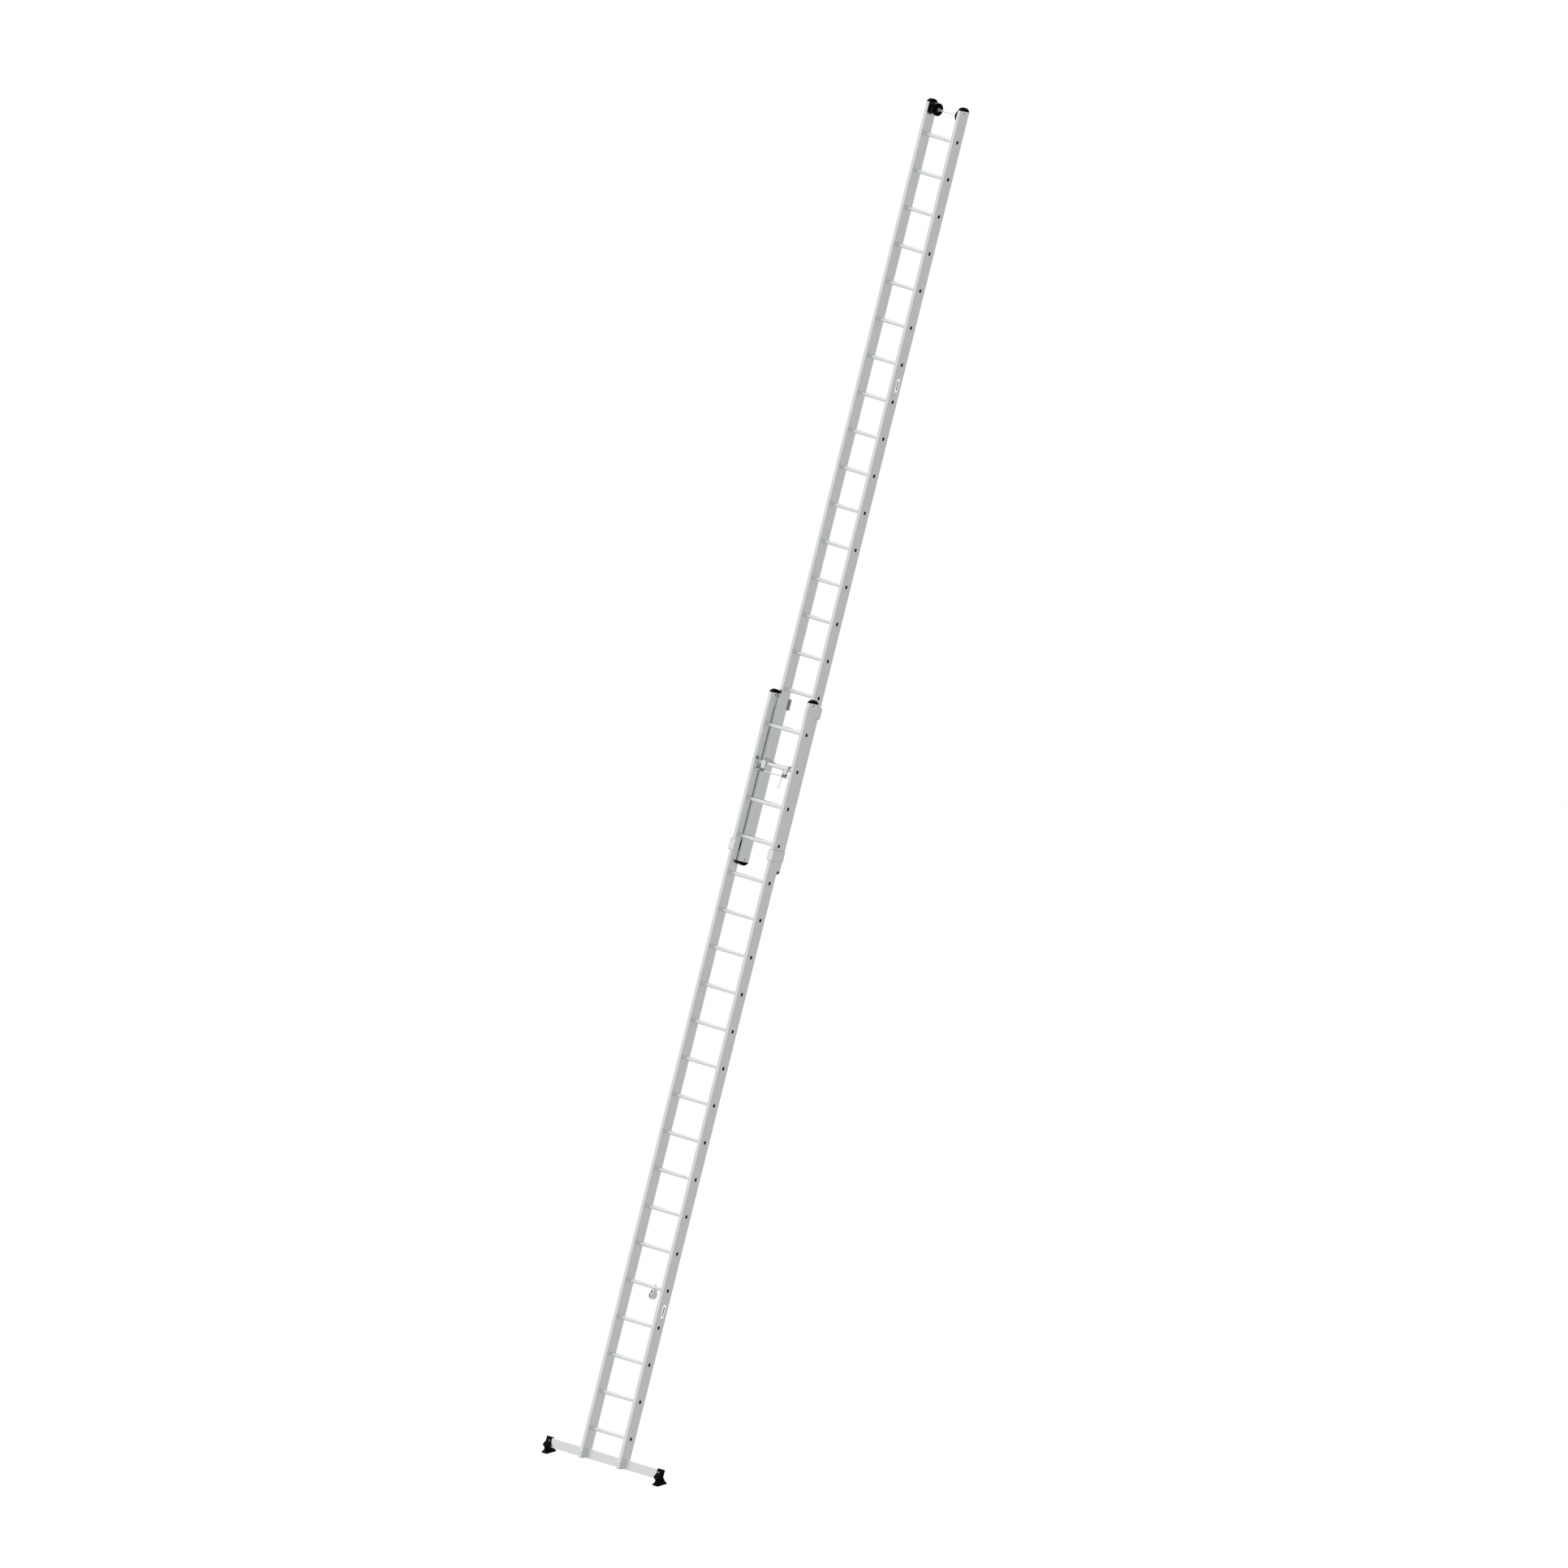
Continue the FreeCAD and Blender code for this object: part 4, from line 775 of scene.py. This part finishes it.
def wheel_profile(half, radius, bore):
    """A soft tyre with two grooves round its tread, a dished web and a plain boss."""
    corner, boss, web, rim = 5 * MM, 15 * MM, 3 * MM, radius - 11 * MM
    groove_place, groove_half, groove_depth = 3.6 * MM, 0.9 * MM, 1.4 * MM
    soft = 1.2 * MM
    right = [(half, bore), (half, boss - soft)]
    right += arc_profile((half - soft, boss - soft), soft, 0, 90, 3)
    right += arc_profile((half - web + soft, boss + soft + web / 2), soft, 250, 180, 3)
    right += arc_profile((half - web + soft, rim - soft - web / 2), soft, 180, 110, 3)
    right += arc_profile((half - soft, rim + soft), soft, 270, 360, 3)
    right += arc_profile((half - corner, radius - corner), corner, 0, 90, 8)
    for side in (1, -1):
        edge = (groove_place + side * groove_half, radius)
        floor = (groove_place + side * groove_half * 0.6, radius - groove_depth)
        right += [edge, floor] if side > 0 else [floor, edge]
    return right + [(-x, r) for x, r in reversed(right)]


def hub_profile(length, wide, narrow, bore):
    """A ringed cone with a thin flange against the wheel and a rounded nose."""
    soft, flange, plain_foot, plain_nose = 0.5 * MM, 2 * MM, 6 * MM, 4 * MM
    profile = [(0, bore), (0, wide - soft), (soft, wide), (flange - soft, wide), (flange, wide - soft)]
    wide *= CONE_SHARE
    pitch = (length - plain_foot - plain_nose) / HUB_RINGS
    for ring in range(HUB_RINGS):
        start = plain_foot + pitch * ring
        for share, dip in ((0, 0), (0.62, 0), (0.74, HUB_RING_DEPTH), (0.90, HUB_RING_DEPTH)):
            place = start + pitch * share
            profile.append((place, wide + (narrow - wide) * place / length - dip))
    nose = 1.6 * MM
    dip = nose * 0.3
    profile += [(length - nose, narrow), (length - dip, narrow - dip), (length, narrow - nose)]
    return profile + [(length, bore)]


def sheave_profile(half, radius, bore):
    """A rope sheave with a round groove between rolled rims."""
    groove, rim, boss, dish = 6 * MM, 1.6 * MM, 3 * MM, 1 * MM
    roll = rim * 0.62
    right = [(half, bore), (half, bore + boss), (half - dish, bore + boss + dish)]
    right += [(half - dish, radius - groove), (half, radius - groove + dish)]
    right += arc_profile((half - roll, radius - rim), roll, 0, 90, 4)
    quarter = arc_profile((0, radius), groove, 360, 270, 10)
    return right + quarter + [(-x, r) for x, r in reversed(right + quarter[:-1])]


def rollers():
    for side, sign in SIDES.items():
        low, high = node_box(f"roller_wheel_{side}")
        middle, half = (low + high) / 2, (high - low) / 2
        bm = bmesh.new()
        turned(bm, wheel_profile(half.x, half.y, AXLE_BORE), middle, ACROSS, 96)
        add_piece(f"roller_wheel_{side}_tyre", bm, f"roller_wheel_{side}")
        low, high = node_box(f"roller_hub_{side}")
        start = (low + high) / 2
        start.x = high.x if sign > 0 else low.x
        bm = bmesh.new()
        profile = hub_profile(high.x - low.x, (high.y - low.y) / 2, NOSE_RADIUS, AXLE_BORE)
        turned(bm, profile, start, -ACROSS * sign, 64)
        add_piece(f"roller_hub_{side}_cone", bm, f"roller_hub_{side}")


PULLEY_CHEEK, PULLEY_SHOULDER, PULLEY_BRIDGE = 4 * MM, 13 * MM, 12 * MM
BRIDGE_SHARE, BRIDGE_GAP, ROUND_STEPS = 0.8, 0.1 * MM, 40
RING_BORE, RING_TOP, RING_FOOT, RING_SUNK = 5.2 * MM, 12 * MM, 13 * MM, 0.3 * MM


def pulley_frame():
    """Two teardrop cheeks joined by a bridge, with a raised ring round each axle end."""
    low, high = node_box("pulley_block")
    axle_low, axle_high = node_box("pulley_axle")
    centre = (axle_low + axle_high) / 2
    radius, cheek = (high.y - low.y) / 2, PULLEY_CHEEK
    shoulder, drop, top_corner = PULLEY_SHOULDER, high.z - centre.z, 5 * MM
    reach = math.hypot(shoulder, drop)
    leave = math.atan2(drop, shoulder) - math.acos(radius / reach)
    sweep = math.pi + 2 * leave
    outline = [
        Vector((
            centre.y + radius * math.cos(leave - sweep * k / ROUND_STEPS),
            centre.z + radius * math.sin(leave - sweep * k / ROUND_STEPS),
        ))
        for k in range(ROUND_STEPS + 1)
    ]
    top = [Vector((centre.y - shoulder, high.z)), Vector((centre.y + shoulder, high.z))]
    outline += corner_arc(outline[-1], top[0], top[1], top_corner, 5)
    outline += corner_arc(top[0], top[1], outline[0], top_corner, 5)
    bm = bmesh.new()
    raised = 0.7 * MM
    for start, end in ((low.x + raised, low.x + cheek), (high.x - cheek, high.x - raised)):
        prism(bm, outline, start, end, (1, 2))
    for start, along in ((low.x + raised, -ACROSS), (high.x - raised, ACROSS)):
        place = Vector((start, centre.y, centre.z))
        ring = [(-RING_SUNK, RING_BORE), (raised, RING_BORE), (raised, RING_TOP), (-RING_SUNK, RING_FOOT)]
        turned(bm, ring, place, along, 48)
    bridge_half = shoulder * BRIDGE_SHARE
    left, right = low.x + cheek - raised, high.x - cheek + raised
    bridge = [
        (left, centre.y - bridge_half), (right, centre.y - bridge_half),
        (right, centre.y + bridge_half), (left, centre.y + bridge_half),
    ]
    prism(bm, bridge, high.z - PULLEY_BRIDGE, high.z - BRIDGE_GAP, (0, 1))
    soften(add_piece("pulley_block_teardrop", bm, "pulley_block"), 0.9 * MM, 2)


def sheave():
    low, high = node_box("pulley_sheave")
    bm = bmesh.new()
    half = (high - low) / 2
    turned(bm, sheave_profile(half.x, half.y, SHEAVE_BORE), (low + high) / 2, ACROSS, 72)
    add_piece("pulley_sheave_turned", bm, "pulley_sheave")


# ---- soles ---------------------------------------------------------------------------------------

def sole_pads():
    """Rubber pads that keep level: a rounded lip over a tread of cross ribs."""
    rib_count, groove_share, groove_depth = 9, 0.34, 2.6 * MM
    for side in SIDES:
        node = f"sole_{side}"
        low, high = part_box(node)
        bm = bmesh.new()
        corner = 6 * MM
        outline = rounded_outline([
            (low.x, low.y, corner), (high.x, low.y, corner),
            (high.x, high.y, corner), (low.x, high.y, corner),
        ])
        tread_top = low.z + groove_depth
        prism(bm, outline, tread_top, high.z, (0, 1))
        pitch = (high.y - low.y - 2 * corner) / rib_count
        for rib in range(rib_count):
            start = low.y + corner + pitch * (rib + groove_share / 2)
            end = start + pitch * (1 - groove_share)
            inset = 1.2 * MM
            block = [
                (low.x + inset, start, 0), (high.x - inset, start, 0),
                (high.x - inset, end, 0), (low.x + inset, end, 0),
            ]
            prism(bm, rounded_outline(block), low.z, tread_top, (0, 1))
        bm.transform(TO_LADDER.to_4x4())
        soften(add_piece(f"{node}_treaded", bm, node), 0.7 * MM, 2)


# ---- the pieces ----------------------------------------------------------------------------------

# How far each node's edges are rounded, in millimetres.
ROUNDED = {
    "shoe_left": 3.2, "shoe_right": 3.2,
    "latch_hook_left": 1.4, "latch_hook_right": 1.4,
    "latch_bracket_left": 0.7, "latch_bracket_right": 0.7,
    "latch_block_left": 1.6, "latch_block_right": 1.6,
    "latch_rod": 0.8, "latch_pins": 0.8,
    "pulley_axle": 0.8, "pulley_bolt": 0.6, "pulley_nut": 0.6,
    "top_glide_left": 0.9, "top_glide_right": 0.9,
    "bottom_glide_left": 0.9, "bottom_glide_right": 0.9,
    "leg_plug_left": 0.9, "leg_plug_right": 0.9,
    "base_bar_nuts": 0.8, "roller_clips": 0.4, "roller_spacers": 0.4, "roller_axle": 0.4,
}


def dress_cad_nodes():
    """Give every CAD node that still shows its slot's material."""
    for node, thing in frame["nodes"].items():
        thing.data.materials.clear()
        thing.data.materials.append(LOOKS[SLOT_OF[node]])


ribbed_rungs("lower")
ribbed_rungs("upper")
top_guides()
bottom_guides()
all_rivets()
labels()
snap_pips()
rollers()
pulley_frame()
sheave()
sole_pads()
for node, width in ROUNDED.items():
    rounded_copy(node, width * MM)
dress_cad_nodes()
